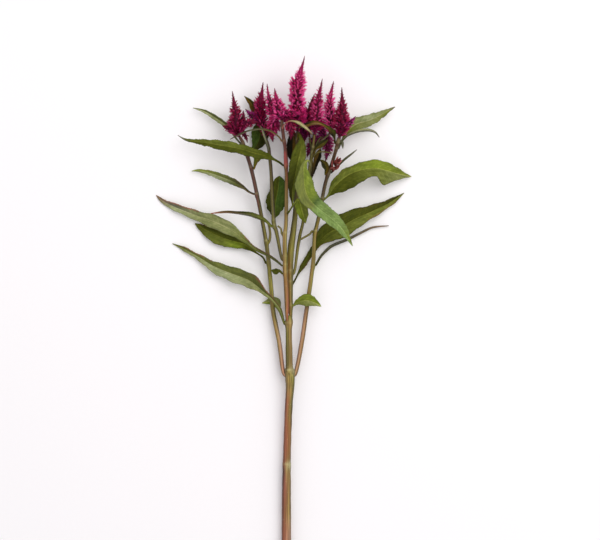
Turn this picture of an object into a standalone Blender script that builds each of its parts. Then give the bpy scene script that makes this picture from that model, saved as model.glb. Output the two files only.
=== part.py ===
"""A cut stem of wheat celosia, lying on a table.

One woody stem forks into a left and a right branch and a bundle of four thinner
stalks. Leaves on short petioles stand off the branches, and each branch ends in
pointed flower spikes that are covered with small pointed florets.

Frame: X to the right, Y from the cut end to the spikes, Z up. The table is z = 0.
All sizes below are in millimetres, and MM turns them into metres.
"""
import math
import random

import bmesh
import bpy
from mathutils import Matrix, Vector

MM = 0.001

# Driving dimensions of the whole stem
CUT_END_Y = -272.0
STEM_RADIUS = 5.2
CUT_END_HEIGHT = 4.95
GAP = 0.35

# How near two corners are welded, and how near the cutting plane counts as on it
WELD_WITHIN = 0.01
CUT_WITHIN = 0.001

# Tubes: the spacing of their rings, and the bevel resolution that makes each one round
CURVE_STEPS = 12
LOOKUP_STEP = 2.0
STEM_STEP = 15.0
SIDE_STALK_STEP = 5.0
MAIN_STEM_ROUNDNESS = 3
BRANCH_ROUNDNESS = 2
SIDE_STALK_ROUNDNESS = 1

# Leaf blades
BLADE_THICKNESS = 0.7
MIDRIB_THICKNESS = 1.7
PETIOLE_HALF = 0.9
PETIOLE_REACH = 0.8
ROW_SPACING = 7.5
ROWS_LEAST = 6
WIDE_LEAF = 4.0
WIDE_COLUMNS = 4
SLIM_COLUMNS = 2
THINS_WITHIN = 1.5
TIP_SHARE = 0.2
FOLD_NEAR_RIB = 0.6
RIPPLES = 5.4
EDGE_BITES = 7.5
RIPPLE_LAG = 1.7
LEAF_LAG = 1.3

# Flower spikes
CORE_SHARE = 0.66
CORE_TIP = 0.35
CORE_ROUNDNESS = 2
SEAT_LENGTH = 1.6
SEAT_FLARE = 1.3
FLORET_SIDES = 4
FLORET_LENGTH = 7.0
FLORET_RADIUS = 2.3
FLORET_STEP = 1.0
FLORET_LEAN = 30.0
FLORET_LEAN_GAIN = 30.0
FLORET_LEAN_SPREAD = 6.0
FLORET_LEAST = 0.42
FIRST_FLORET = 0.07
LAST_FLORET = 0.91
FULL_FLORET_AT = 7.0
RESTING_SPIKE = "spike_low_centre"
GOLDEN_ANGLE = math.radians(137.508)

# Each stalk is a list of places on its centre line: x, y, height, radius
MAIN_STEM = [
    (2.4, CUT_END_Y, CUT_END_HEIGHT, STEM_RADIUS),
    (2.4, -204, 5.7, 5.1),
    (2.5, -158, 6.6, 4.8),
    (3.0, -124, 7.6, 4.3),
    (4.7, -78, 9.6, 4.3),
    (6.0, -60, 10.6, 4.7),
    (6.0, -49, 11.2, 5.2),
    (5.4, -40, 11.8, 4.0),
    (5.0, -20, 12.9, 3.8),
    (4.8, -2, 14.0, 3.6),
    (5.0, 6, 14.4, 4.1),
    (5.0, 10, 14.6, 3.7),
]

# The branches and the side bundle start beside another stalk, and these are the places they pass next
LEFT_BRANCH = [
    (-5.0, -13, 9.0, 2.2),
    (-11.0, 17.4, 8.0, 2.2),
    (-12.4, 35, 8.0, 2.1),
    (-14.0, 52, 8.5, 2.1),
    (-16.4, 75, 9.5, 2.0),
    (-20.3, 100, 11.2, 1.9),
    (-27.5, 136, 14.0, 1.9),
    (-33.0, 160, 16.5, 1.8),
    (-37.3, 173.6, 18.0, 1.7),
    (-41.0, 185, 20.0, 1.6),
    (-44.2, 190.5, 21.5, 1.5),
]
RIGHT_BRANCH = [
    (18.0, -13, 9.0, 2.2),
    (22.4, 17.4, 8.5, 2.1),
    (25.5, 38, 8.7, 2.1),
    (27.8, 55, 9.2, 2.0),
    (29.5, 69.3, 9.8, 2.0),
    (30.7, 92.3, 11.4, 1.9),
    (34.5, 110, 12.8, 1.9),
    (38.5, 131, 14.4, 1.8),
    (42.0, 147, 15.8, 1.8),
    (49.5, 169.5, 19.6, 1.7),
    (55.0, 190, 28.0, 1.6),
]
CENTRE_STALK = [
    (2.9, 10.5, 17.2, 1.5),
    (2.8, 24, 18.2, 2.1),
    (1.5, 58, 19.5, 2.3),
    (0.7, 88, 20.6, 2.1),
    (2.0, 104, 21.2, 1.9),
    (2.4, 127, 22.0, 1.8),
    (2.4, 153, 23.0, 1.8),
    (2.0, 166, 25.0, 2.1),
    (1.6, 175, 27.2, 1.9),
    (0.8, 183, 30.6, 1.7),
    (-0.6, 192, 35.0, 1.7),
    (-1.6, 200, 38.6, 1.7),
    (-2.2, 207, 40.6, 1.5),
]
LEFT_STALK = [
    (-5.6, 86, 17.6, 1.7),
    (-7.8, 97, 17.4, 1.9),
    (-10.0, 104.4, 17.2, 2.0),
    (-11.0, 118, 17.0, 1.8),
    (-12.0, 136, 17.0, 1.8),
    (-12.7, 153.5, 17.4, 1.7),
    (-13.8, 167, 18.2, 1.7),
    (-15.6, 181, 19.4, 1.6),
    (-19.0, 190.5, 20.8, 1.5),
]
INNER_STALK = [
    (6.6, 10.5, 12.7, 1.7),
    (6.3, 24, 13.0, 2.5),
    (6.1, 58, 14.0, 3.0),
    (7.0, 80, 15.2, 3.3),
    (9.2, 96, 16.6, 2.9),
    (11.4, 116, 18.0, 2.4),
    (13.0, 148, 20.6, 2.0),
    (13.5, 178, 24.5, 1.9),
    (13.6, 196, 28.6, 1.7),
]
OUTER_STALK = [
    (13.8, 81, 11.6, 1.6),
    (16.4, 95, 12.6, 1.6),
    (19.0, 106, 13.6, 1.6),
    (22.5, 133, 15.8, 1.5),
    (25.5, 159, 18.5, 1.5),
    (29.0, 181, 22.8, 1.6),
    (30.4, 193, 28.0, 1.4),
]

# The stalk that each branch grows from, where, towards which side (degrees from +X to +Z), its radius there
BRANCHES = {
    "left_branch": dict(rows=LEFT_BRANCH, on="main_stem", at=-43, aim=197, radius=1.7),
    "right_branch": dict(rows=RIGHT_BRANCH, on="main_stem", at=-43, aim=-17, radius=1.7),
    "left_stalk": dict(rows=LEFT_STALK, on="centre_stalk", at=71, aim=200, radius=1.2),
    "outer_stalk": dict(rows=OUTER_STALK, on="inner_stalk", at=56, aim=-10, radius=1.1),
}

# Leaf stations run from petiole to tip: x, y, height, half width left, half width right
LEAVES = {
    "leaf_left_upper_flower": dict(
        on="left_branch", at=184, aim=215, fold=(5, 5), wave=0.3,
        stations=[(-48.2, 190, 12.6, 1.0, 1.0), (-54, 199, 11, 2.2, 2.2),
                  (-64, 207, 9.5, 2.6, 2.6), (-78.5, 216, 8.5, 1.8, 1.8), (-91, 220, 7, 0.3, 0.3)]),
    "leaf_left_top": dict(
        on="centre_stalk", at=162, aim=160, fold=(14, 20), wave=0.6,
        stations=[(-5, 165.5, 27.5, 1.1, 1.1), (-10.5, 168.5, 29.5, 1.3, 1.3), (-17, 171.5, 30.5, 3.8, 3.6),
                  (-29.5, 174.6, 31, 4.8, 4.6), (-44, 178.8, 29.5, 5.0, 4.8), (-59, 181.6, 27, 5.0, 5.2),
                  (-77, 184.6, 22, 3.4, 3.6), (-91, 186.8, 18, 1.9, 1.9), (-99, 188.5, 15.5, 1.0, 1.0),
                  (-106, 192.6, 13, 0.3, 0.3)]),
    "leaf_left_slim": dict(
        on="left_branch", at=133, aim=175, fold=(-25, 25), wave=0.4,
        stations=[(-35, 136, 15, 1.0, 1.0), (-40, 140, 14.8, 1.6, 1.6), (-49.2, 145.4, 14, 3.2, 3.2),
                  (-61.3, 150.4, 11, 3.4, 3.4), (-73.4, 154.8, 7.5, 2.6, 2.6), (-85.5, 157.4, 5, 1.4, 1.4),
                  (-92.2, 156.8, 4, 0.3, 0.3)]),
    "leaf_left_long": dict(
        on="centre_stalk", at=62, aim=185, fold=(-6, 14), wave=0.7,
        stations=[(-8, 67.5, 18, 1.2, 1.2), (-15.4, 72.4, 16, 1.5, 1.5), (-29, 79.5, 14.5, 1.7, 1.8),
                  (-39, 87.5, 13.5, 2.2, 2.8), (-52, 97.5, 12, 5.6, 5.6), (-69, 106, 10, 7.0, 6.8),
                  (-85, 111.5, 7.5, 5.2, 5.2), (-102, 118, 4.8, 4.0, 4.2), (-119, 125.6, 2.2, 2.6, 2.6),
                  (-127.8, 132.7, 0.35, 0.3, 0.3)]),
    "leaf_left_under": dict(
        on="left_branch", at=65, aim=190, fold=(8, 2), wave=0.5,
        stations=[(-21, 70.5, 8.0, 0.9, 0.9), (-28.8, 76, 7.0, 1.1, 1.1), (-39, 83.5, 5.5, 5.0, 4.0),
                  (-53, 87.5, 4.6, 7.2, 6.2), (-66, 92, 3.6, 8.2, 6.6), (-79, 98.5, 2.4, 5.0, 4.6),
                  (-89, 104.5, 1.2, 0.4, 0.4)]),
    "leaf_left_edge_on": dict(
        on="left_stalk", at=102, aim=170, fold=(-60, 60), wave=0.0,
        stations=[(-19, 107.8, 18.2, 1.7, 1.5), (-26, 111.2, 18.8, 2.4, 2.2), (-35, 114, 19, 2.2, 2.0),
                  (-48, 115.4, 18, 1.5, 1.3), (-58.4, 116, 17, 1.1, 1.0), (-72.8, 114.5, 15.5, 0.3, 0.3)]),
    "leaf_left_low": dict(
        on="main_stem", at=6, aim=165, fold=(12, 24), wave=0.9,
        stations=[(-3.5, 18, 16.5, 1.4, 1.4), (-11.5, 28.5, 15.5, 1.6, 1.8), (-19, 35, 14, 2.4, 2.6),
                  (-27, 42, 12, 5.0, 6.0), (-37, 48.5, 10, 7.4, 7.6), (-53, 54.5, 7.5, 7.4, 7.0),
                  (-69, 61.2, 5.3, 6.0, 5.2), (-84, 70, 3.6, 3.0, 3.0), (-99, 78.6, 1.8, 2.0, 2.2),
                  (-111.5, 84.4, 0.8, 0.3, 0.3)]),
    "leaf_left_young": dict(
        on="main_stem", at=4, aim=205, fold=(0, 5), wave=0.2,
        stations=[(-4.5, 17.5, 8.0, 1.4, 1.4), (-7.6, 24.4, 4.6, 4.4, 5.0), (-12, 27, 3.8, 5.0, 4.8),
                  (-16.4, 26, 3.4, 2.4, 2.6), (-22, 25, 3.0, 0.3, 0.3)]),
    "leaf_left_stub": dict(
        on="centre_stalk", at=55, aim=190, fold=(0, 0), wave=0.0,
        stations=[(-4.5, 57, 17.6, 1.5, 1.5), (-8.5, 56.6, 16.8, 3.2, 2.8), (-12.8, 58, 16, 0.3, 0.3)]),
    "leaf_left_behind": dict(
        on="left_stalk", at=107, aim=250, fold=(0, 0), wave=0.6,
        stations=[(-9.5, 111, 11.5, 2.0, 2.0), (-9, 119, 8.8, 7.6, 8.0), (-8, 128, 8.2, 9.8, 10.2),
                  (-6, 138, 8.2, 7.6, 9.4), (-5, 147, 8.6, 5.4, 6.0), (-4.5, 152, 9.2, 0.5, 0.5)]),
    "leaf_under_left_spikes": dict(
        on="left_branch", at=171, aim=290, fold=(0, 0), wave=0.4,
        stations=[(-32.5, 177, 9.5, 1.2, 1.2), (-28.5, 181, 7.6, 4.0, 4.0), (-25, 188, 6.6, 7.8, 8.0),
                  (-23.4, 196, 6.2, 8.6, 8.4), (-21.5, 203.5, 6.2, 5.4, 5.2), (-19.8, 209.5, 6.4, 0.4, 0.4)]),
    "leaf_behind_left_spikes": dict(
        on="left_stalk", at=184, aim=250, fold=(8, 8), wave=0.3,
        stations=[(-21, 192, 12.4, 1.2, 1.2), (-25, 203, 10.6, 3.4, 3.4), (-28.5, 215, 10.4, 4.2, 4.2),
                  (-32, 223.5, 10.2, 3.2, 3.2), (-39.7, 231.8, 9.4, 0.3, 0.3)]),
    "leaf_small_fork": dict(
        on="left_branch", at=160, aim=10, fold=(0, 0), wave=0.0,
        stations=[(-28.3, 165.5, 18.5, 2.0, 2.0), (-26, 170.5, 19.4, 3.6, 3.6), (-24, 176.5, 20, 0.5, 0.5)]),
    "leaf_arching_left": dict(
        on="centre_stalk", at=186, aim=165, fold=(-30, 30), wave=0.0,
        stations=[(-4.6, 190, 36.6, 0.7, 0.7), (-8.6, 193.4, 40, 0.7, 0.7), (-14, 196.6, 41.6, 0.7, 0.7),
                  (-21, 198.2, 42, 0.7, 0.7), (-28, 198, 41, 0.7, 0.7), (-36, 196.4, 39.4, 0.7, 0.7),
                  (-44, 193.2, 37, 0.7, 0.7), (-53.7, 188.2, 31, 0.3, 0.3)]),
    "leaf_pale_left": dict(
        on="left_stalk", at=178, aim=80, fold=(-20, 20), wave=0.0,
        stations=[(-17.6, 186.4, 28.6, 0.8, 0.8), (-19.6, 192, 34.6, 1.0, 1.0), (-21, 197, 37.6, 1.0, 0.9),
                  (-23.4, 201.6, 38.4, 0.3, 0.3)]),
    "leaf_pale_centre": dict(
        on="centre_stalk", at=200, aim=88, fold=(18, 18), wave=0.2,
        stations=[(0.6, 203, 45.6, 0.5, 0.5), (5, 206, 49, 0.6, 0.6), (10, 206, 50.6, 0.9, 0.9),
                  (15.4, 204, 51, 1.6, 1.5), (21, 200, 50, 1.5, 1.4), (25.6, 196, 48.2, 0.9, 0.8),
                  (28.4, 192.4, 46.4, 0.3, 0.3)]),
    "leaf_centre_top": dict(
        on="inner_stalk", at=188, aim=85, fold=(8, 14), wave=0.5,
        stations=[(14.6, 193.5, 33, 1.3, 1.3), (17.4, 188, 35.5, 1.9, 2.4), (17.4, 180, 37, 4.6, 6.4),
                  (14.6, 168, 37.5, 6.8, 8.0), (11.4, 154, 37, 6.6, 7.2), (8.4, 138, 35, 3.4, 4.0),
                  (8.6, 122, 32, 0.4, 0.4)]),
    "leaf_centre_front": dict(
        on="outer_stalk", at=162, aim=100, fold=(12, 12), wave=0.7,
        stations=[(25.2, 165, 31, 0.9, 0.9), (24.6, 167, 40, 1.0, 1.0), (21.6, 165.6, 45, 1.6, 1.6),
                  (19.8, 160, 47, 3.4, 3.4), (20, 152, 48.5, 6.6, 6.8), (20.8, 141, 50.5, 9.4, 9.8),
                  (24.5, 130, 52, 9.4, 8.4), (34, 119.5, 49.5, 8.4, 6.4), (46, 110.5, 42, 7.6, 6.8),
                  (57.5, 99.5, 33, 5.4, 4.8), (68.5, 82, 21, 0.3, 0.3)]),
    "leaf_centre_hanging": dict(
        on="centre_stalk", at=115, aim=60, fold=(10, 10), wave=0.3,
        stations=[(9.5, 123, 29, 0.9, 0.9), (13.4, 127.6, 36, 1.6, 1.6), (15.8, 124.6, 38.6, 5.4, 5.2),
                  (17.6, 118.6, 37.6, 6.2, 5.8), (19.6, 111.6, 35.4, 4.8, 4.4), (21.6, 104.5, 32, 0.3, 0.3)]),
    "leaf_right_young": dict(
        on="inner_stalk", at=22, aim=25, fold=(6, 6), wave=0.4,
        stations=[(14, 26, 15.5, 3.0, 3.0), (22.5, 27.8, 16.2, 6.6, 6.2), (30.5, 25.4, 15, 4.2, 3.6),
                  (37.1, 21.6, 13, 0.3, 0.3)]),
    "leaf_right_low": dict(
        on="inner_stalk", at=45, aim=-40, fold=(6, 14), wave=0.8,
        stations=[(14.6, 55, 8.2, 1.1, 1.1), (19.6, 64, 6.0, 2.4, 3.2), (26, 74, 4.6, 2.6, 3.4),
                  (34, 84, 6.4, 4.6, 3.4), (43, 94, 8.6, 9.4, 9.0), (58, 101.7, 9.6, 12.0, 11.2),
                  (73, 110, 9.0, 9.6, 9.0), (90, 117.4, 6.6, 6.2, 5.8), (107, 126, 3.4, 3.5, 3.3),
                  (120, 135, 0.36, 0.3, 0.3)]),
    "leaf_right_edge_on": dict(
        on="right_branch", at=62, aim=-20, fold=(-45, 45), wave=0.0,
        stations=[(37, 71.8, 5.0, 1.1, 1.1), (44.5, 79.6, 3.4, 1.4, 1.4), (51, 83.6, 3.0, 1.4, 1.4),
                  (63.5, 88.6, 2.8, 1.3, 1.3), (78, 95.8, 2.6, 1.1, 1.1), (89, 100.7, 2.2, 0.8, 0.8),
                  (104.7, 102.3, 1.6, 0.3, 0.3)]),
    "leaf_right_wide": dict(
        on="right_branch", at=129, aim=40, fold=(-30, -8), wave=0.7,
        stations=[(45, 133, 18.8, 1.4, 1.6), (51, 141.5, 22.8, 5.4, 9.0), (61, 150.6, 25.5, 7.4, 13.0),
                  (71, 155.8, 27, 7.2, 12.2), (83, 159, 26.5, 8.0, 9.6), (93, 159.5, 24, 8.4, 8.0),
                  (103.5, 157, 19, 7.8, 14.6), (115, 153.8, 11, 4.8, 6.0), (127.2, 151.3, 3, 0.3, 0.3)]),
    "leaf_right_top": dict(
        on="right_branch", at=179, aim=-40, fold=(6, 6), wave=0.5,
        stations=[(58.6, 188, 17.6, 1.1, 1.1), (64.5, 197, 14.0, 4.4, 4.2), (72, 203.5, 12.2, 6.4, 6.2),
                  (86.5, 208, 11.6, 5.8, 5.6), (98, 213.6, 11, 3.6, 3.2), (111, 221, 9.4, 0.3, 0.3)]),
    "leaf_right_top_slim": dict(
        on="right_branch", at=187, aim=-10, fold=(-25, 25), wave=0.0,
        stations=[(61.4, 190.6, 24.4, 0.9, 0.9), (66.6, 194, 22.4, 1.3, 1.3), (75, 197, 20.6, 1.6, 1.6),
                  (84, 197.6, 18.5, 1.5, 1.5), (91, 195.5, 16, 0.9, 0.9), (95.2, 190.4, 14, 0.3, 0.3)]),
    "leaf_right_tiny": dict(
        on="right_branch", at=185, aim=35, fold=(0, 0), wave=0.0,
        stations=[(58.0, 186.4, 28.6, 0.9, 0.9), (58.4, 183.4, 28.2, 1.4, 1.4), (58.8, 179, 26.6, 0.3, 0.3)]),
    "leaf_right_narrow": dict(
        on="right_branch", at=156, aim=-30, fold=(-20, 20), wave=0.0,
        stations=[(53.5, 161.5, 13, 0.9, 0.9), (60, 168, 13.6, 1.1, 1.1), (67, 173.5, 15, 0.9, 0.9),
                  (72.8, 178.2, 16, 0.3, 0.3)]),
    "leaf_dark_centre": dict(
        on="inner_stalk", at=162, aim=235, fold=(0, 0), wave=0.3,
        stations=[(9.8, 166, 17.4, 1.6, 1.6), (8.6, 172, 16.4, 5.0, 5.4), (8.8, 181, 16.2, 6.0, 6.2),
                  (9.0, 190, 16.8, 4.8, 5.0), (9.4, 198, 17.8, 0.4, 0.4)]),
    "leaf_under_right_spikes": dict(
        on="right_branch", at=185, aim=165, fold=(10, 10), wave=0.3,
        stations=[(50.2, 190.2, 32.6, 1.2, 1.2), (48.8, 194.6, 37.6, 3.2, 3.0), (44.4, 199.2, 40.2, 1.8, 1.8),
                  (37.5, 203.2, 41.8, 1.4, 1.4), (30, 204.6, 42.8, 2.2, 2.0), (22, 202.4, 43.2, 2.2, 2.0),
                  (14, 199.6, 43, 0.3, 0.3)]),
    "leaf_dark_right": dict(
        on="outer_stalk", at=175, aim=60, fold=(8, 8), wave=0.2,
        stations=[(32, 179, 28.5, 1.2, 1.2), (36, 182.6, 30, 3.0, 3.0), (40.4, 185.6, 29.6, 2.2, 2.2),
                  (44, 188, 28.6, 0.3, 0.3)]),
    "leaf_right_fork": dict(
        on="right_branch", at=153, aim=165, fold=(8, 8), wave=0.2,
        stations=[(42.6, 158.5, 20.2, 2.4, 2.2), (41, 163, 21.4, 3.6, 3.4), (38.6, 166, 21.8, 2.0, 2.0),
                  (35.6, 168, 22, 0.3, 0.3)]),
    "leaf_withered": dict(
        on="outer_stalk", at=150, aim=-10, fold=(10, 10), wave=0.5,
        stations=[(29.6, 157, 16.6, 1.8, 1.8), (31.6, 165, 15.6, 2.8, 2.8), (34.4, 172.5, 15, 3.6, 3.4),
                  (36.4, 179.5, 14.6, 0.4, 0.4)]),
}

# Each spike is one or more axes from base to tip: x, y, height, half width out to the floret tips.
# The first axis starts on the end of the stalk that carries it.
SPIKES = {
    "spike_centre": dict(on="inner_stalk", colour="bright", axes=[
        dict(florets=66, places=[(14.2, 201, 29.6, 3.2), (14.3, 205, 30.4, 6.6), (14.2, 209, 31, 9.2),
                                 (13.6, 215, 32, 9.8), (13.0, 221, 33, 9.0), (13.0, 228, 35, 8.4),
                                 (13.5, 238, 37.5, 8.6), (14.4, 245, 39, 8.2), (15.6, 251, 40.5, 6.6),
                                 (17.2, 258, 42, 3.6), (19.0, 264, 43, 1.8), (20.6, 271, 44.5, 0.5)]),
        dict(florets=12, places=[(10, 208, 27, 4.0), (4, 209.5, 23.8, 6.0), (-2, 211, 22.6, 5.0),
                                 (-7, 213, 22, 0.5)])]),
    "spike_far_left": dict(on="left_branch", colour="dark", axes=[
        dict(florets=33, places=[(-46.2, 195.5, 23.2, 7.4), (-47.2, 201, 24, 10.4), (-47.6, 208, 24.6, 8.4),
                                 (-48.2, 214, 25, 6.4), (-49.2, 221, 25.8, 4.8), (-50.4, 229, 26.6, 2.2),
                                 (-51.6, 236.5, 27.4, 0.5)]),
        dict(florets=9, places=[(-51, 199.5, 23.5, 3.0), (-56.5, 200, 23.5, 4.2), (-61.6, 202, 23.5, 0.5)]),
        dict(florets=6, places=[(-43, 203, 24.5, 2.6), (-40.5, 210, 25.5, 3.2), (-40.6, 217, 26.5, 0.5)]),
        dict(florets=12, places=[(-43, 202, 26.6, 4.2), (-37, 204.5, 29, 5.2), (-30.5, 205.5, 30.6, 4.2),
                                 (-25.5, 205.5, 31, 0.5)]),
        dict(florets=6, places=[(-44.5, 197, 22.6, 3.0), (-38.5, 191.6, 20.2, 3.2),
                                (-36.5, 185, 18.6, 0.5)])]),
    "spike_left_back": dict(on="left_stalk", colour="mid", axes=[
        dict(florets=34, places=[(-20.6, 197, 20.0, 2.6), (-22.0, 203, 19, 4.8), (-22.9, 209.5, 18.6, 6.9),
                                 (-23.6, 216, 18.6, 7.4), (-23.8, 223, 18.8, 7.0), (-23, 230, 19.2, 5.4),
                                 (-21.8, 237, 19.8, 2.6), (-20.8, 245.5, 20.2, 0.5)]),
        dict(florets=11, places=[(-26.5, 207, 19.6, 3.0), (-31, 211, 20, 4.6), (-35, 215, 20.6, 3.2),
                                 (-38.6, 218.6, 21.4, 0.5)])]),
    "spike_left_front": dict(on="centre_stalk", colour="bright", axes=[
        dict(florets=30, places=[(-3.6, 213, 39.6, 8.0), (-5.4, 220, 39.6, 7.2), (-7.2, 227, 40, 5.2),
                                 (-8.4, 233, 41, 2.6), (-9.4, 239, 42, 0.5)]),
        dict(florets=23, places=[(-6, 208.5, 37.4, 3.6), (-11.4, 213.5, 36, 6.0), (-13.2, 221, 35.6, 5.6),
                                 (-14.8, 229, 35.8, 3.8), (-16, 236, 36.2, 1.8), (-16.8, 243.5, 36.8, 0.5)]),
        dict(florets=20, places=[(-6, 211.5, 36.4, 3.4), (-10.2, 205, 31.6, 6.8), (-11.8, 198, 28.8, 7.4),
                                 (-12, 191.5, 27.8, 4.4), (-10.8, 185.5, 27, 0.5)]),
        dict(florets=15, places=[(0.4, 212, 39.4, 3.4), (4.8, 206.5, 40.6, 5.2), (6.8, 200, 38.6, 6.2),
                                 (7.2, 193.5, 36.4, 4.0), (6.8, 187.5, 34.6, 0.5)]),
        dict(florets=12, places=[(-2, 214.5, 43.6, 3.6), (6, 214.5, 46.2, 4.4), (13, 214, 47.6, 3.2),
                                 (19, 213, 48, 0.5)])]),
    "spike_right_back": dict(on="stalk_to_right_back", colour="dark", axes=[
        dict(florets=21, places=[(24.8, 200, 17.4, 4.6), (25, 209, 17.4, 6.2), (26.2, 217, 17.6, 5.6),
                                 (28, 225, 17.8, 3.8), (30.4, 233.5, 18, 0.5)])]),
    "spike_right_mid": dict(on="outer_stalk", colour="mid", axes=[
        dict(florets=35, places=[(31.6, 200.5, 30.8, 6.6), (32.8, 208.5, 32.2, 8.0), (33.2, 217, 33.2, 7.2),
                                 (33.8, 225, 34.2, 6.2), (35.2, 233, 35.2, 4.0), (36.8, 240.5, 36, 2.0),
                                 (38.3, 248.5, 37, 0.5)])]),
    "spike_right_tall": dict(on="stalk_to_right_tall", colour="mid", axes=[
        dict(florets=31, places=[(46.2, 199.5, 17.8, 6.0), (46.2, 207.5, 17.6, 7.6), (45.6, 216, 17.8, 6.4),
                                 (45.4, 224, 18.2, 5.6), (46.2, 231, 18.8, 4.4), (47.8, 238.5, 19.6, 2.4),
                                 (49.5, 246.5, 20.5, 0.5)])]),
    "spike_far_right": dict(on="right_branch", colour="dark", axes=[
        dict(florets=32, places=[(56.8, 196, 30, 7.2), (57.2, 202, 31, 9.2), (57.6, 211, 31.6, 8.2),
                                 (58, 219, 32.2, 6.4), (58, 226, 32.8, 4.2), (57.8, 232.5, 33.4, 2.2),
                                 (57.6, 240, 34, 0.5)]),
        dict(florets=12, places=[(60, 201, 31, 3.4), (66, 205, 31, 4.4), (71.6, 211.2, 31, 0.5)])]),
    "spike_low_right": dict(on="stalk_to_low_right", colour="purple", axes=[
        dict(florets=22, places=[(42.0, 191.5, 12.0, 4.4), (43.4, 186, 11.0, 6.4), (43.6, 179, 10.2, 5.6),
                                 (42.8, 173.0, 9.6, 3.8), (41.4, 166.5, 9, 0.5)]),
        dict(florets=14, places=[(40.4, 190.8, 11.2, 3.4), (34, 189.4, 8.0, 6.2), (30, 186, 7.2, 6.0),
                                 (25.8, 179, 6.8, 5.0), (23, 170.5, 6.4, 0.5)]),
        dict(florets=9, places=[(40.4, 191.5, 10.6, 3.6), (37.6, 198, 9.6, 5.4), (36.6, 205, 9.4, 4.4),
                                (36.4, 212, 9.2, 0.5)])]),
    "spike_low_centre": dict(on="stalk_to_low_centre", colour="purple", axes=[
        dict(florets=22, places=[(19.6, 195, 6.8, 6.6), (18, 206, 4.3, 7.4),
                                 (17, 216, 3.7, 4.8), (16, 226, 3.4, 0.6)])]),
    "young_shoot": dict(on=None, colour="young", axes=[
        dict(florets=9, places=[(47.6, 157.4, 19.7, 1.4), (50.2, 161.5, 22.8, 3.0), (52.6, 165, 24.8, 4.0),
                                (55, 168.6, 26, 2.8), (57, 171.8, 26.6, 0.5)])]),
}

# Thin side stalks: the stalk each grows from, where, towards which side, then its own places
SIDE_STALKS = {
    "stalk_to_right_tall": dict(on="outer_stalk", at=180, aim=20, radius=1.0,
                                places=[(37.0, 186.5, 21.6), (44.4, 193, 18.4)]),
    "stalk_to_low_right": dict(on="outer_stalk", at=174, aim=-40, radius=0.9,
                               places=[(32.4, 183.5, 19.0), (35, 188.6, 16.8), (38, 190.8, 14.8)]),
    "stalk_to_low_centre": dict(on="inner_stalk", at=168, aim=-60, radius=1.1,
                                places=[(17.6, 178, 17.0), (20, 186.4, 11.4)]),
    "stalk_to_right_back": dict(on="outer_stalk", at=150, aim=-50, radius=1.1,
                                places=[(27.8, 164, 14.6), (27.2, 178, 15.4), (25.6, 190, 17.2)]),
    "twig_left": dict(on="left_branch", at=86, aim=20, radius=1.2,
                      places=[(-13.8, 93, 12), (-14.6, 100, 13), (-16, 106, 14)]),
    "twig_right": dict(on="right_branch", at=96, aim=170, radius=1.0,
                       places=[(26, 94, 15.2), (21, 91, 15.5), (16.5, 88.5, 16)]),
    "twig_centre": dict(on="centre_stalk", at=94, aim=180, radius=0.9,
                        places=[(-3.0, 99, 21.4), (-6.4, 102, 21.4)]),
    "twig_upper_right": dict(on="outer_stalk", at=170, aim=50, radius=0.6,
                             places=[(33.5, 175.2, 27.6), (40, 175.8, 27.8), (48, 174.6, 27)]),
}

COLOURS = {
    "stem_brown": (0.30, 0.17, 0.075, 0.55),
    "stem_olive": (0.28, 0.25, 0.08, 0.5),
    "leaf_green": (0.10, 0.16, 0.035, 0.45),
    "leaf_grey_green": (0.17, 0.20, 0.09, 0.5),
    "floret_bright": (0.52, 0.02, 0.14, 0.6),
    "floret_mid": (0.32, 0.012, 0.10, 0.6),
    "floret_dark": (0.16, 0.008, 0.045, 0.6),
    "floret_purple": (0.10, 0.008, 0.07, 0.6),
    "floret_young": (0.30, 0.10, 0.06, 0.55),
}
GREY_LEAVES = (
    "leaf_left_long", "leaf_left_low", "leaf_left_slim", "leaf_arching_left", "leaf_pale_left",
    "leaf_pale_centre", "leaf_centre_front", "leaf_left_upper_flower",
)


def clear_scene():
    for obj in list(bpy.data.objects):
        bpy.data.objects.remove(obj, do_unlink=True)


def make_collection(name):
    found = bpy.data.collections.new(name)
    bpy.context.scene.collection.children.link(found)
    return found


def make_material(name):
    red, green, blue, roughness = COLOURS[name]
    material = bpy.data.materials.new(name)
    material.use_nodes = True
    shader = material.node_tree.nodes["Principled BSDF"]
    shader.inputs["Base Color"].default_value = (red, green, blue, 1.0)
    shader.inputs["Roughness"].default_value = roughness
    shader.inputs["Metallic"].default_value = 0.0
    return material


def catmull(before, start, end, after, share):
    """One value on the smooth curve from start to end."""
    a = 2 * start
    b = end - before
    c = 2 * before - 5 * start + 4 * end - after
    d = -before + 3 * start - 3 * end + after
    return 0.5 * (a + b * share + c * share ** 2 + d * share ** 3)


def smooth_path(rows, step, least=2):
    """Rows of numbers that start with x, y, z, read every step along a smooth curve."""
    fine = []
    for i in range(len(rows) - 1):
        around = [rows[max(i - 1, 0)], rows[i], rows[i + 1], rows[min(i + 2, len(rows) - 1)]]
        for k in range(CURVE_STEPS):
            fine.append([catmull(*column, k / CURVE_STEPS) for column in zip(*around)])
    fine.append(list(rows[-1]))
    lengths = [0.0]
    for one, two in zip(fine, fine[1:]):
        lengths.append(lengths[-1] + (Vector(two[:3]) - Vector(one[:3])).length)
    count = max(least, round(lengths[-1] / step)) + 1
    path = []
    j = 0
    for i in range(count):
        wanted = lengths[-1] * i / (count - 1)
        while j < len(fine) - 2 and lengths[j + 1] < wanted:
            j += 1
        share = (wanted - lengths[j]) / max(lengths[j + 1] - lengths[j], 1e-9)
        path.append([a + (b - a) * min(share, 1.0) for a, b in zip(fine[j], fine[j + 1])])
    return path


def place_on(rows, y):
    """The centre and radius of a stalk where it passes y."""
    path = smooth_path(rows, LOOKUP_STEP)
    near = min(path, key=lambda row: abs(row[1] - y))
    return Vector(near[:3]), near[3]


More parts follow.
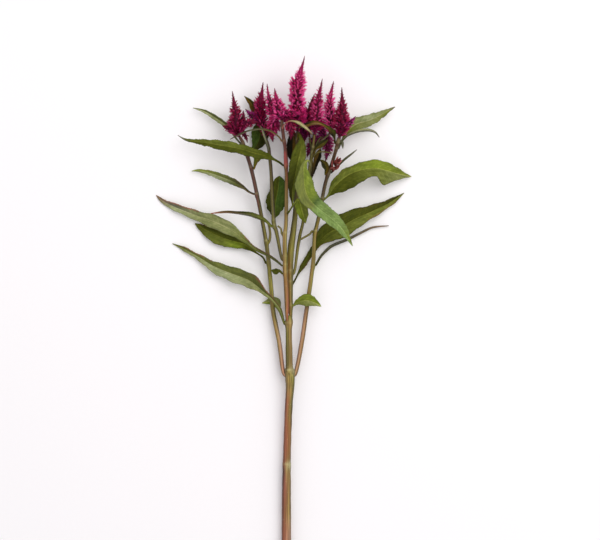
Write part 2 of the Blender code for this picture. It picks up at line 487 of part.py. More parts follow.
def beside(rows, y, aim, reach):
    """A point at reach from a stalk's skin, on the side that aim (degrees from +X to +Z) gives."""
    centre, radius = place_on(rows, y)
    turn = math.radians(aim)
    return centre + Vector((math.cos(turn), 0, math.sin(turn))) * (radius + reach)


def add_tube(name, path, roundness, collection, material):
    """A round tube with capped ends through the path's points, each with its radius."""
    curve = bpy.data.curves.new(name, "CURVE")
    curve.dimensions = "3D"
    curve.bevel_depth = MM
    curve.bevel_resolution = roundness
    curve.use_fill_caps = True
    spline = curve.splines.new("POLY")
    spline.points.add(len(path) - 1)
    for point, row in zip(spline.points, path):
        point.co = (row[0] * MM, row[1] * MM, row[2] * MM, 1.0)
        point.radius = row[3]
    obj = bpy.data.objects.new(name, curve)
    if material:
        curve.materials.append(material)
    collection.objects.link(obj)
    return obj


def leaf_rows(spec, stalks):
    """The leaf's stations from its root on the stalk, read at even steps."""
    root = beside(stalks[spec["on"]], spec["at"], spec["aim"], GAP + PETIOLE_REACH)
    rows = [(root.x, root.y, root.z, PETIOLE_HALF, PETIOLE_HALF)] + list(spec["stations"])
    return smooth_path(rows, ROW_SPACING, ROWS_LEAST)


def leaf_point(row, along, sideways, share, spec, lag):
    """A point of the blade: sideways runs from 1 at the left edge to -1 at the right edge."""
    centre = Vector(row[:3])
    half = row[3] if sideways > 0 else row[4]
    fold = spec["fold"][0] if sideways > 0 else spec["fold"][1]
    out = abs(sideways) * half
    side = Vector((0, 0, 1)).cross(along).normalized()
    broad = min(1.0, half / WIDE_LEAF)
    lift = out * math.tan(math.radians(fold)) * (FOLD_NEAR_RIB + (1 - FOLD_NEAR_RIB) * abs(sideways))
    ripple = spec["wave"] * broad * sideways ** 2
    lift += ripple * math.sin(share * RIPPLES * math.tau + lag + (RIPPLE_LAG if sideways > 0 else 0))
    out += ripple / 2 * math.cos(share * EDGE_BITES * math.tau + lag)
    return centre + side * (out if sideways > 0 else -out) + Vector((0, 0, lift))


def add_leaf(name, spec, stalks, number, collection, material):
    """A blade on its petiole: a grid laid along the midrib and given its thickness."""
    rows = leaf_rows(spec, stalks)
    widest = max(max(row[3], row[4]) for row in rows)
    columns = WIDE_COLUMNS if widest > WIDE_LEAF else SLIM_COLUMNS
    mesh = bpy.data.meshes.new(name)
    grid = bmesh.new()
    bmesh.ops.create_grid(grid, x_segments=len(rows) - 1, y_segments=columns, size=0.5)
    thick = grid.verts.layers.deform.verify()
    for vert in grid.verts:
        i = round((vert.co.x + 0.5) * (len(rows) - 1))
        sideways = vert.co.y * 2
        row = rows[i]
        along = Vector(rows[min(i + 1, len(rows) - 1)][:3]) - Vector(rows[max(i - 1, 0)][:3])
        share = i / (len(rows) - 1)
        vert.co = leaf_point(row, along, sideways, share, spec, number * LEAF_LAG) * MM
        half = row[3] if sideways > 0 else row[4]
        blade = min(1.0, max(0.0, (half - PETIOLE_HALF) / THINS_WITHIN)) * abs(sideways)
        stout = (1 - blade) * min(1.0, (1 - share) / TIP_SHARE)
        thickness = BLADE_THICKNESS + (MIDRIB_THICKNESS - BLADE_THICKNESS) * stout
        vert[thick][0] = thickness / MIDRIB_THICKNESS
    bmesh.ops.triangulate(grid, faces=grid.faces, quad_method="FIXED")
    grid.to_mesh(mesh)
    grid.free()
    mesh.materials.append(material)
    mesh.shade_smooth()
    obj = bpy.data.objects.new(name, mesh)
    obj.vertex_groups.new(name="thickness")
    collection.objects.link(obj)
    skin = obj.modifiers.new("blade", "SOLIDIFY")
    skin.thickness = MIDRIB_THICKNESS * MM
    skin.offset = 0.0
    skin.vertex_group = "thickness"
    return obj


def floret_matrix(here, ahead, half, turn, lean, size):
    """Where a floret stands: its root is sunk in the core and it leans towards the tip."""
    along = (ahead - here).normalized()
    level = along.cross(Vector((0, 0, 1))).normalized()
    outwards = Matrix.Rotation(turn, 3, along) @ level
    direction = outwards * math.cos(lean) + along * math.sin(lean)
    tip = here + outwards * half + along * FLORET_LENGTH * size * math.sin(lean)
    spot = Matrix.Translation((tip - direction * FLORET_LENGTH * size / 2) * MM)
    return spot @ direction.to_track_quat("Z", "Y").to_matrix().to_4x4()


def floret_mesh(pose, size):
    bud = bmesh.new()
    bmesh.ops.create_cone(
        bud, cap_ends=True, segments=FLORET_SIDES, radius1=FLORET_RADIUS * size * MM,
        radius2=0.0, depth=FLORET_LENGTH * size * MM,
    )
    bud.transform(pose)
    mesh = bpy.data.meshes.new("floret")
    bud.to_mesh(mesh)
    bud.free()
    return mesh


def solid_of(obj):
    """A closed mesh of a curve object, which is then removed."""
    mesh = bpy.data.meshes.new_from_object(obj.evaluated_get(bpy.context.evaluated_depsgraph_get()))
    body = bmesh.new()
    body.from_mesh(mesh)
    bmesh.ops.remove_doubles(body, verts=body.verts, dist=WELD_WITHIN * MM)
    bmesh.ops.recalc_face_normals(body, faces=body.faces)
    body.to_mesh(mesh)
    body.free()
    bpy.data.objects.remove(obj, do_unlink=True)
    return mesh


def seated(places, stalk):
    """The axis with its first places on the end of the stalk, in line with it."""
    end = Vector(stalk[-1][:3])
    along = (end - Vector(stalk[-2][:3])).normalized()
    half = stalk[-1][3] / CORE_SHARE
    near = end + along * GAP
    far = near + along * SEAT_LENGTH
    return [(*near, half), (*far, half * SEAT_FLARE)] + places


def add_core(axis, collection):
    """The smaller core inside a spike's florets, a tapering tube along its axis."""
    rows = [(*place[:3], max(place[3] * CORE_SHARE, CORE_TIP)) for place in axis["places"]]
    tube = add_tube("core", rows, CORE_ROUNDNESS, collection, None)
    return bpy.data.objects.new("core", solid_of(tube))


def add_florets(axis, draw, collection):
    """Pointed florets in a spiral up one axis."""
    path = smooth_path(axis["places"], FLORET_STEP)
    last = len(path) - 1
    for k in range(axis["florets"]):
        share = FIRST_FLORET + (LAST_FLORET - FIRST_FLORET) * (k + 0.5) / axis["florets"]
        i = min(int(share * last), last - 1)
        here = Vector(path[i][:3])
        half = path[i][3]
        size = max(FLORET_LEAST, min(1.0, half / FULL_FLORET_AT))
        spread = draw.uniform(-FLORET_LEAN_SPREAD, FLORET_LEAN_SPREAD)
        lean = math.radians(FLORET_LEAN + FLORET_LEAN_GAIN * share + spread)
        pose = floret_matrix(here, Vector(path[i + 1][:3]), half, k * GOLDEN_ANGLE, lean, size)
        collection.objects.link(bpy.data.objects.new("floret", floret_mesh(pose, size)))


def rest_flat(obj):
    """Presses flat what would reach below the table."""
    body = bmesh.new()
    body.from_mesh(obj.data)
    everything = body.verts[:] + body.edges[:] + body.faces[:]
    cut = bmesh.ops.bisect_plane(
        body, geom=everything, plane_co=(0, 0, 0), plane_no=(0, 0, 1), clear_inner=True, dist=CUT_WITHIN * MM
    )
    rim = [item for item in cut["geom_cut"] if isinstance(item, bmesh.types.BMEdge)]
    bmesh.ops.triangle_fill(body, edges=rim, use_beauty=True, normal=(0, 0, -1))
    body.to_mesh(obj.data)
    body.free()


def add_spike(name, spec, number, collection, material):
    """Cores with pointed florets in spirals, joined into one solid."""
    draw = random.Random(number)
    loose = make_collection(name + "_florets")
    cores = [add_core(axis, loose) for axis in spec["axes"]]
    obj = cores[0]
    obj.name = name
    collection.objects.link(obj)
    for core in cores[1:]:
        loose.objects.link(core)
    for axis in spec["axes"]:
        add_florets(axis, draw, loose)
    join = obj.modifiers.new("florets", "BOOLEAN")
    join.operation = "UNION"
    join.operand_type = "COLLECTION"
    join.collection = loose
    join.solver = "EXACT"
    whole = bpy.data.meshes.new_from_object(obj.evaluated_get(bpy.context.evaluated_depsgraph_get()))
    obj.modifiers.clear()
    obj.data = whole
    for bud in list(loose.objects):
        bpy.data.objects.remove(bud, do_unlink=True)
    bpy.data.collections.remove(loose)
    whole.materials.clear()
    whole.materials.append(material)
    if name == RESTING_SPIKE:
        rest_flat(obj)
    return obj


def branch_rows(spec, stalks):
    """A branch's places, from its start beside the stalk that it grows from."""
    start = beside(stalks[spec["on"]], spec["at"], spec["aim"], spec["radius"] + GAP)
    return [(*start, spec["radius"])] + spec["rows"]


def add_stalks(collection, materials):
    """The main stem, its branches and the side stalks; gives back their places by name."""
    stalks = {"main_stem": MAIN_STEM, "centre_stalk": CENTRE_STALK, "inner_stalk": INNER_STALK}
    for name, spec in BRANCHES.items():
        stalks[name] = branch_rows(spec, stalks)
    for name, rows in stalks.items():
        stout = name == "main_stem"
        roundness = MAIN_STEM_ROUNDNESS if stout else BRANCH_ROUNDNESS
        colour = "stem_brown" if stout else "stem_olive"
        add_tube(name, smooth_path(rows, STEM_STEP), roundness, collection, materials[colour])
    for name, spec in SIDE_STALKS.items():
        rows = [(*place, spec["radius"]) for place in spec["places"]]
        stalks[name] = branch_rows({**spec, "rows": rows}, stalks)
        path = smooth_path(stalks[name], SIDE_STALK_STEP)
        add_tube(name, path, SIDE_STALK_ROUNDNESS, collection, materials["stem_olive"])
    return stalks


def build():
    clear_scene()
    parts = make_collection("wheat_celosia")
    materials = {name: make_material(name) for name in COLOURS}
    stalks = add_stalks(parts, materials)
    for number, (name, spec) in enumerate(LEAVES.items()):
        colour = "leaf_grey_green" if name in GREY_LEAVES else "leaf_green"
        add_leaf(name, spec, stalks, number, parts, materials[colour])
    for number, (name, spec) in enumerate(SPIKES.items()):
        if spec["on"]:
            main_axis = spec["axes"][0]
            main_axis["places"] = seated(main_axis["places"], stalks[spec["on"]])
        add_spike(name, spec, number, parts, materials["floret_" + spec["colour"]])


build()
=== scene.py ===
"""The looks of a cut stem of wheat celosia that lies on a pale floor under soft light.

The frame brings the plain solids. Here the stalks, the leaves and the flower spikes are modelled
again, finer, at the same places, and each new piece replaces its own solid.

Frame: X to the right, Y from the cut end to the spikes, Z up, and the floor is z = 0.
The plant's places are in millimetres, and MM turns them into metres.
"""

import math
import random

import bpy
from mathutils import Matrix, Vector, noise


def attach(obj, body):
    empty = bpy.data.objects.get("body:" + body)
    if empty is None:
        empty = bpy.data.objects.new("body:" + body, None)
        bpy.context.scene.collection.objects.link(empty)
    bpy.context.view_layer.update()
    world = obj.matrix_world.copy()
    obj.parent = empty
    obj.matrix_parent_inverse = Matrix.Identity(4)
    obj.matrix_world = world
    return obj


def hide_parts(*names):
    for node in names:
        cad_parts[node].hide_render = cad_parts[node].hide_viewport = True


bl_info = {
    "name": "Wheat Celosia",
    "version": (1, 0, 0),
    "blender": (4, 5, 0),
    "location": "3D View > Sidebar > Celosia",
    "description": "A cut stem of wheat celosia with its leaves and flower spikes",
    "category": "Add Mesh",
}

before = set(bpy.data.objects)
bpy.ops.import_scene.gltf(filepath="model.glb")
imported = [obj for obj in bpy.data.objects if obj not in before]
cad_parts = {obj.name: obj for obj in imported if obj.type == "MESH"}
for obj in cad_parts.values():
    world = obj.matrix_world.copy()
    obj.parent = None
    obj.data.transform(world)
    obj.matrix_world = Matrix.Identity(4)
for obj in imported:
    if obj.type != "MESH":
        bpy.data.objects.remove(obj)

MM = 0.001
GAP = 0.35
GOLDEN_ANGLE = math.radians(137.508)
UP = Vector((0, 0, 1))

# How finely a smooth curve is read between two places of its list
PARTS_PER_STRETCH = 12

# How large the swelling on a stalk is at a leaf, at a branch of 1 mm radius and at an old scar
LEAF_SWELLING = 1.0
BRANCH_SWELLING = 1.4
SCAR_SWELLING = 1.3
# How far it rises all round, on the leaf's own side, and at the rim of the scar, in millimetres
RING_SWELL = 0.12
SIDE_SWELL = 0.5
SCAR_RIM = 0.10
# The ridges of a stalk reach their full depth from this radius
RIDGED_FROM = 3.5
# Painted light on a stalk: how much lighter its crest is painted than its own colour, and how much painted
# shade darkens its flanks
PAINTED_CREST_LIGHT = 1.12
PAINTED_FLANK_SHADE = 0.68
# The rings of the cut end from outside to inside: width, and how far each stands out
CUT_RINGS = ((0.45, 0.15), (0.9, 0.1), (1.2, -0.1), (1.2, 0.35))
BARK_WIDTH = 0.35

# Depth of the notches in a leaf's edge, and in the edge of a serrated leaf
NOTCH = 0.32
DEEP_NOTCH = 0.6
# How many waves run along a leaf's edge, in its outline and in its height
OUTLINE_WAVES = 7.5
HEIGHT_WAVES = 5.4
# How far a side vein runs forwards for each millimetre outwards
VEIN_SLANT = 1.1
# How deep the groove over the midrib of a broad leaf is
RIB_GROOVE = 0.28
# Half width of a petiole, how much wider the full blade is, and the half width of a broad blade
PETIOLE = 0.9
BLADE_MORE = 1.5
BROAD = 4.0
# The share of a leaf at its tip over which the midrib fades
RIB_FADES = 0.35

# The rings of a tepal: how far up the next one is, as a share of its length, and how wide beside the last
TEPAL_RINGS = ((0.38, 1.75), (0.34, 0.72), (0.28, 0.02))
# The kinds of floret: how far the outer and the inner tepals flare, and the share of the full length
FLORET_KINDS = (
    ("open_floret", (0.22, 0.08), 1.0),
    ("closing_floret", (0.08, 0.02), 1.05),
    ("bud", (-0.03, -0.06), 0.95),
)
# Up to what share of a spike its florets are open, and up to what share they are closing
OPEN_UP_TO = 0.22
CLOSING_UP_TO = 0.75
# From this half width of a spike its florets have their full size
FULL_SIZE_FROM = 6.5
# How far florets of the upper half stand further out, in millimetres
LOOSE = 0.7
# The core under the florets, beside the half width of the spike, and its least radius
CORE_SHARE = 0.52
THINNEST_CORE = 0.25
# For each floret colour, how far its tips lighten, partly by a painted highlight, and the share of a spike
# from where its florets darken
FLORET_LOOKS = (
    ("bright", 0.9, 0.8),
    ("mid", 0.7, 0.78),
    ("dark", 0.25, 0.7),
    ("purple", 0.25, 0.8),
    ("lilac", 0.4, 0.8),
)
# The young shoot, from its base to its tip
YOUNG_SHOOT = ((47.6, 157.4, 19.7), (57, 171.8, 26.6))
LEAFLETS = 9

# Places of the lamp and of what it points at, in metres
LAMP_PLACE = (0.85, 0.95, 1.7)
LAMP_AIM = (0, 0.08, 0)
LAMP_COLOUR = (1.0, 0.985, 0.96)
SKY_COLOUR = (1.0, 0.97, 0.985)

# The stalks, each after the one that it grows on. Places on a centre line are x, y, height and radius. A
# branch starts with its own radius beside the stalk that it is on: at tells the y there, and aim the side,
# in degrees from +X to +Z. It keeps that radius where a place has none. Colours are y, the colour of the
# left side, and that of the right side where it differs.
STALKS = {
    "main_stem": dict(
        colours=[(-208, "bark", "blush"), (-185, "bark", "straw"), (-142, "plum", "straw"),
            (-136, "bark", "amber"), (-100, "bark", "amber"), (-75, "bark", "olive"),
            (-58, "straw", "olive"), (-49, "straw", "moss"), (-36, "olive", "straw"),
            (-4, "olive", "straw"), (6, "straw"), (10, "olive", "moss")],
        places=[(2.4, -272, 4.95, 5.2), (2.4, -204, 5.7, 5.1), (2.5, -158, 6.6, 4.8),
            (3.0, -124, 7.6, 4.3), (4.7, -78, 9.6, 4.3), (6.0, -60, 10.6, 4.7), (6.0, -49, 11.2, 5.2),
            (5.4, -40, 11.8, 4.0), (5.0, -20, 12.9, 3.8), (4.8, -2, 14.0, 3.6), (5.0, 6, 14.4, 4.1),
            (5.0, 10, 14.6, 3.7)]),
    "centre_stalk": dict(
        colours=[(24, "amber", "bark"), (48, "amber"), (66, "straw", "moss"), (130, "straw"),
            (150, "amber", "bark"), (160, "amber", "plum"), (163, "rose"), (174, "rose", "plum"),
            (178, "plum"), (196, "plum"), (207, "plum", "umber")],
        places=[(2.9, 10.5, 17.2, 1.5), (2.8, 24, 18.2, 2.1), (1.5, 58, 19.5, 2.3), (0.7, 88, 20.6, 2.1),
            (2.0, 104, 21.2, 1.9), (2.4, 127, 22.0, 1.8), (2.4, 153, 23.0, 1.8), (2.0, 166, 25.0, 2.1),
            (1.6, 175, 27.2, 1.9), (0.8, 183, 30.6, 1.7), (-0.6, 192, 35.0, 1.7), (-1.6, 200, 38.6, 1.7),
            (-2.2, 207, 40.6, 1.5)]),
    "inner_stalk": dict(
        colours=[(0, "bark", "olive"), (30, "amber", "olive"), (62, "amber", "olive"),
            (80, "olive", "moss"), (130, "dusk", "olive"), (196, "umber", "dusk")],
        places=[(6.6, 10.5, 12.7, 1.7), (6.3, 24, 13.0, 2.5), (6.1, 58, 14.0, 3.0), (7.0, 80, 15.2, 3.3),
            (9.2, 96, 16.6, 2.9), (11.4, 116, 18.0, 2.4), (13.0, 148, 20.6, 2.0), (13.5, 178, 24.5, 1.9),
            (13.6, 196, 28.6, 1.7)]),
    "left_branch": dict(
        on="main_stem", at=-43, aim=197, radius=1.7,
        colours=[(-45, "blush", "bark"), (-15, "straw", "blush"), (10, "straw", "olive"), (40, "moss"),
            (110, "dusk", "olive"), (125, "plum", "dusk"), (145, "plum", "umber"), (190, "umber", "plum")],
        places=[(-5.0, -13, 9.0, 2.2), (-11.0, 17.4, 8.0, 2.2), (-12.4, 35, 8.0, 2.1),
            (-14.0, 52, 8.5, 2.1), (-16.4, 75, 9.5, 2.0), (-20.3, 100, 11.2, 1.9), (-27.5, 136, 14.0, 1.9),
            (-33.0, 160, 16.5, 1.8), (-37.3, 173.6, 18.0, 1.7), (-41.0, 185, 20.0, 1.6),
            (-44.2, 190.5, 21.5, 1.5)]),
    "right_branch": dict(
        on="main_stem", at=-43, aim=-17, radius=1.7,
        colours=[(16, "blush", "amber"), (30, "straw", "olive"), (60, "straw", "moss"),
            (95, "moss", "straw"), (118, "dusk", "olive"), (145, "umber", "dusk"), (190, "umber")],
        places=[(18.0, -13, 9.0, 2.2), (22.4, 17.4, 8.5, 2.1), (25.5, 38, 8.7, 2.1), (27.8, 55, 9.2, 2.0),
            (29.5, 69.3, 9.8, 2.0), (30.7, 92.3, 11.4, 1.9), (34.5, 110, 12.8, 1.9),
            (38.5, 131, 14.4, 1.8), (42.0, 147, 15.8, 1.8), (49.5, 169.5, 19.6, 1.7),
            (55.0, 190, 28.0, 1.6)]),
    "left_stalk": dict(
        on="centre_stalk", at=71, aim=200, radius=1.2,
        colours=[(70, "dusk", "olive"), (140, "olive", "dusk"), (190, "dusk", "umber")],
        places=[(-5.6, 86, 17.6, 1.7), (-7.8, 97, 17.4, 1.9), (-10.0, 104.4, 17.2, 2.0),
            (-11.0, 118, 17.0, 1.8), (-12.0, 136, 17.0, 1.8), (-12.7, 153.5, 17.4, 1.7),
            (-13.8, 167, 18.2, 1.7), (-15.6, 181, 19.4, 1.6), (-19.0, 190.5, 20.8, 1.5)]),
    "outer_stalk": dict(
        on="inner_stalk", at=56, aim=-10, radius=1.1,
        colours=[(50, "olive", "moss"), (120, "dusk", "olive"), (150, "moss", "dusk"),
            (175, "dusk", "olive"), (192, "olive", "plum")],
        places=[(13.8, 81, 11.6, 1.6), (16.4, 95, 12.6, 1.6), (19.0, 106, 13.6, 1.6),
            (22.5, 133, 15.8, 1.5), (25.5, 159, 18.5, 1.5), (29.0, 181, 22.8, 1.6),
            (30.4, 193, 28.0, 1.4)]),
    "stalk_to_right_tall": dict(
        on="outer_stalk", at=180, aim=20, radius=1.0, places=[(37.0, 186.5, 21.6), (44.4, 193, 18.4)]),
    "stalk_to_low_right": dict(
        on="outer_stalk", at=174, aim=-40, radius=0.9, places=[(32.4, 183.5, 19.0), (35, 188.6, 16.8),
            (38, 190.8, 14.8)]),
    "stalk_to_low_centre": dict(
        on="inner_stalk", at=168, aim=-60, radius=1.1, places=[(17.6, 178, 17.0), (20, 186.4, 11.4)]),
    "stalk_to_right_back": dict(
        on="outer_stalk", at=150, aim=-50, radius=1.1, places=[(27.8, 164, 14.6), (27.2, 178, 15.4),
            (25.6, 190, 17.2)]),
    "twig_left": dict(
        on="left_branch", at=86, aim=20, radius=1.2, places=[(-13.8, 93, 12), (-14.6, 100, 13),
            (-16, 106, 14)]),
    "twig_right": dict(
        on="right_branch", at=96, aim=170, radius=1.0, places=[(26, 94, 15.2), (21, 91, 15.5),
            (16.5, 88.5, 16)]),
    "twig_centre": dict(
        on="centre_stalk", at=94, aim=180, radius=0.9, places=[(-3.0, 99, 21.4), (-6.4, 102, 21.4)]),
    "twig_upper_right": dict(
        on="outer_stalk", at=170, aim=50, radius=0.6, places=[(33.5, 175.2, 27.6), (40, 175.8, 27.8),
            (48, 174.6, 27)]),
}
SIDE_STALK_COLOURS = [(80, "olive", "moss"), (192, "dusk", "olive")]

# Old leaf scars: the stalk, where along it, and towards which side
SCARS = [("main_stem", -137.0, 62.0)]
# Pale patches where a leaf or a branch was: the stalk, where along it, towards which side, and its length
PALE_PATCHES = [("main_stem", -137.0, 40.0, 4.5), ("main_stem", -42.0, 12.0, 5.0)]
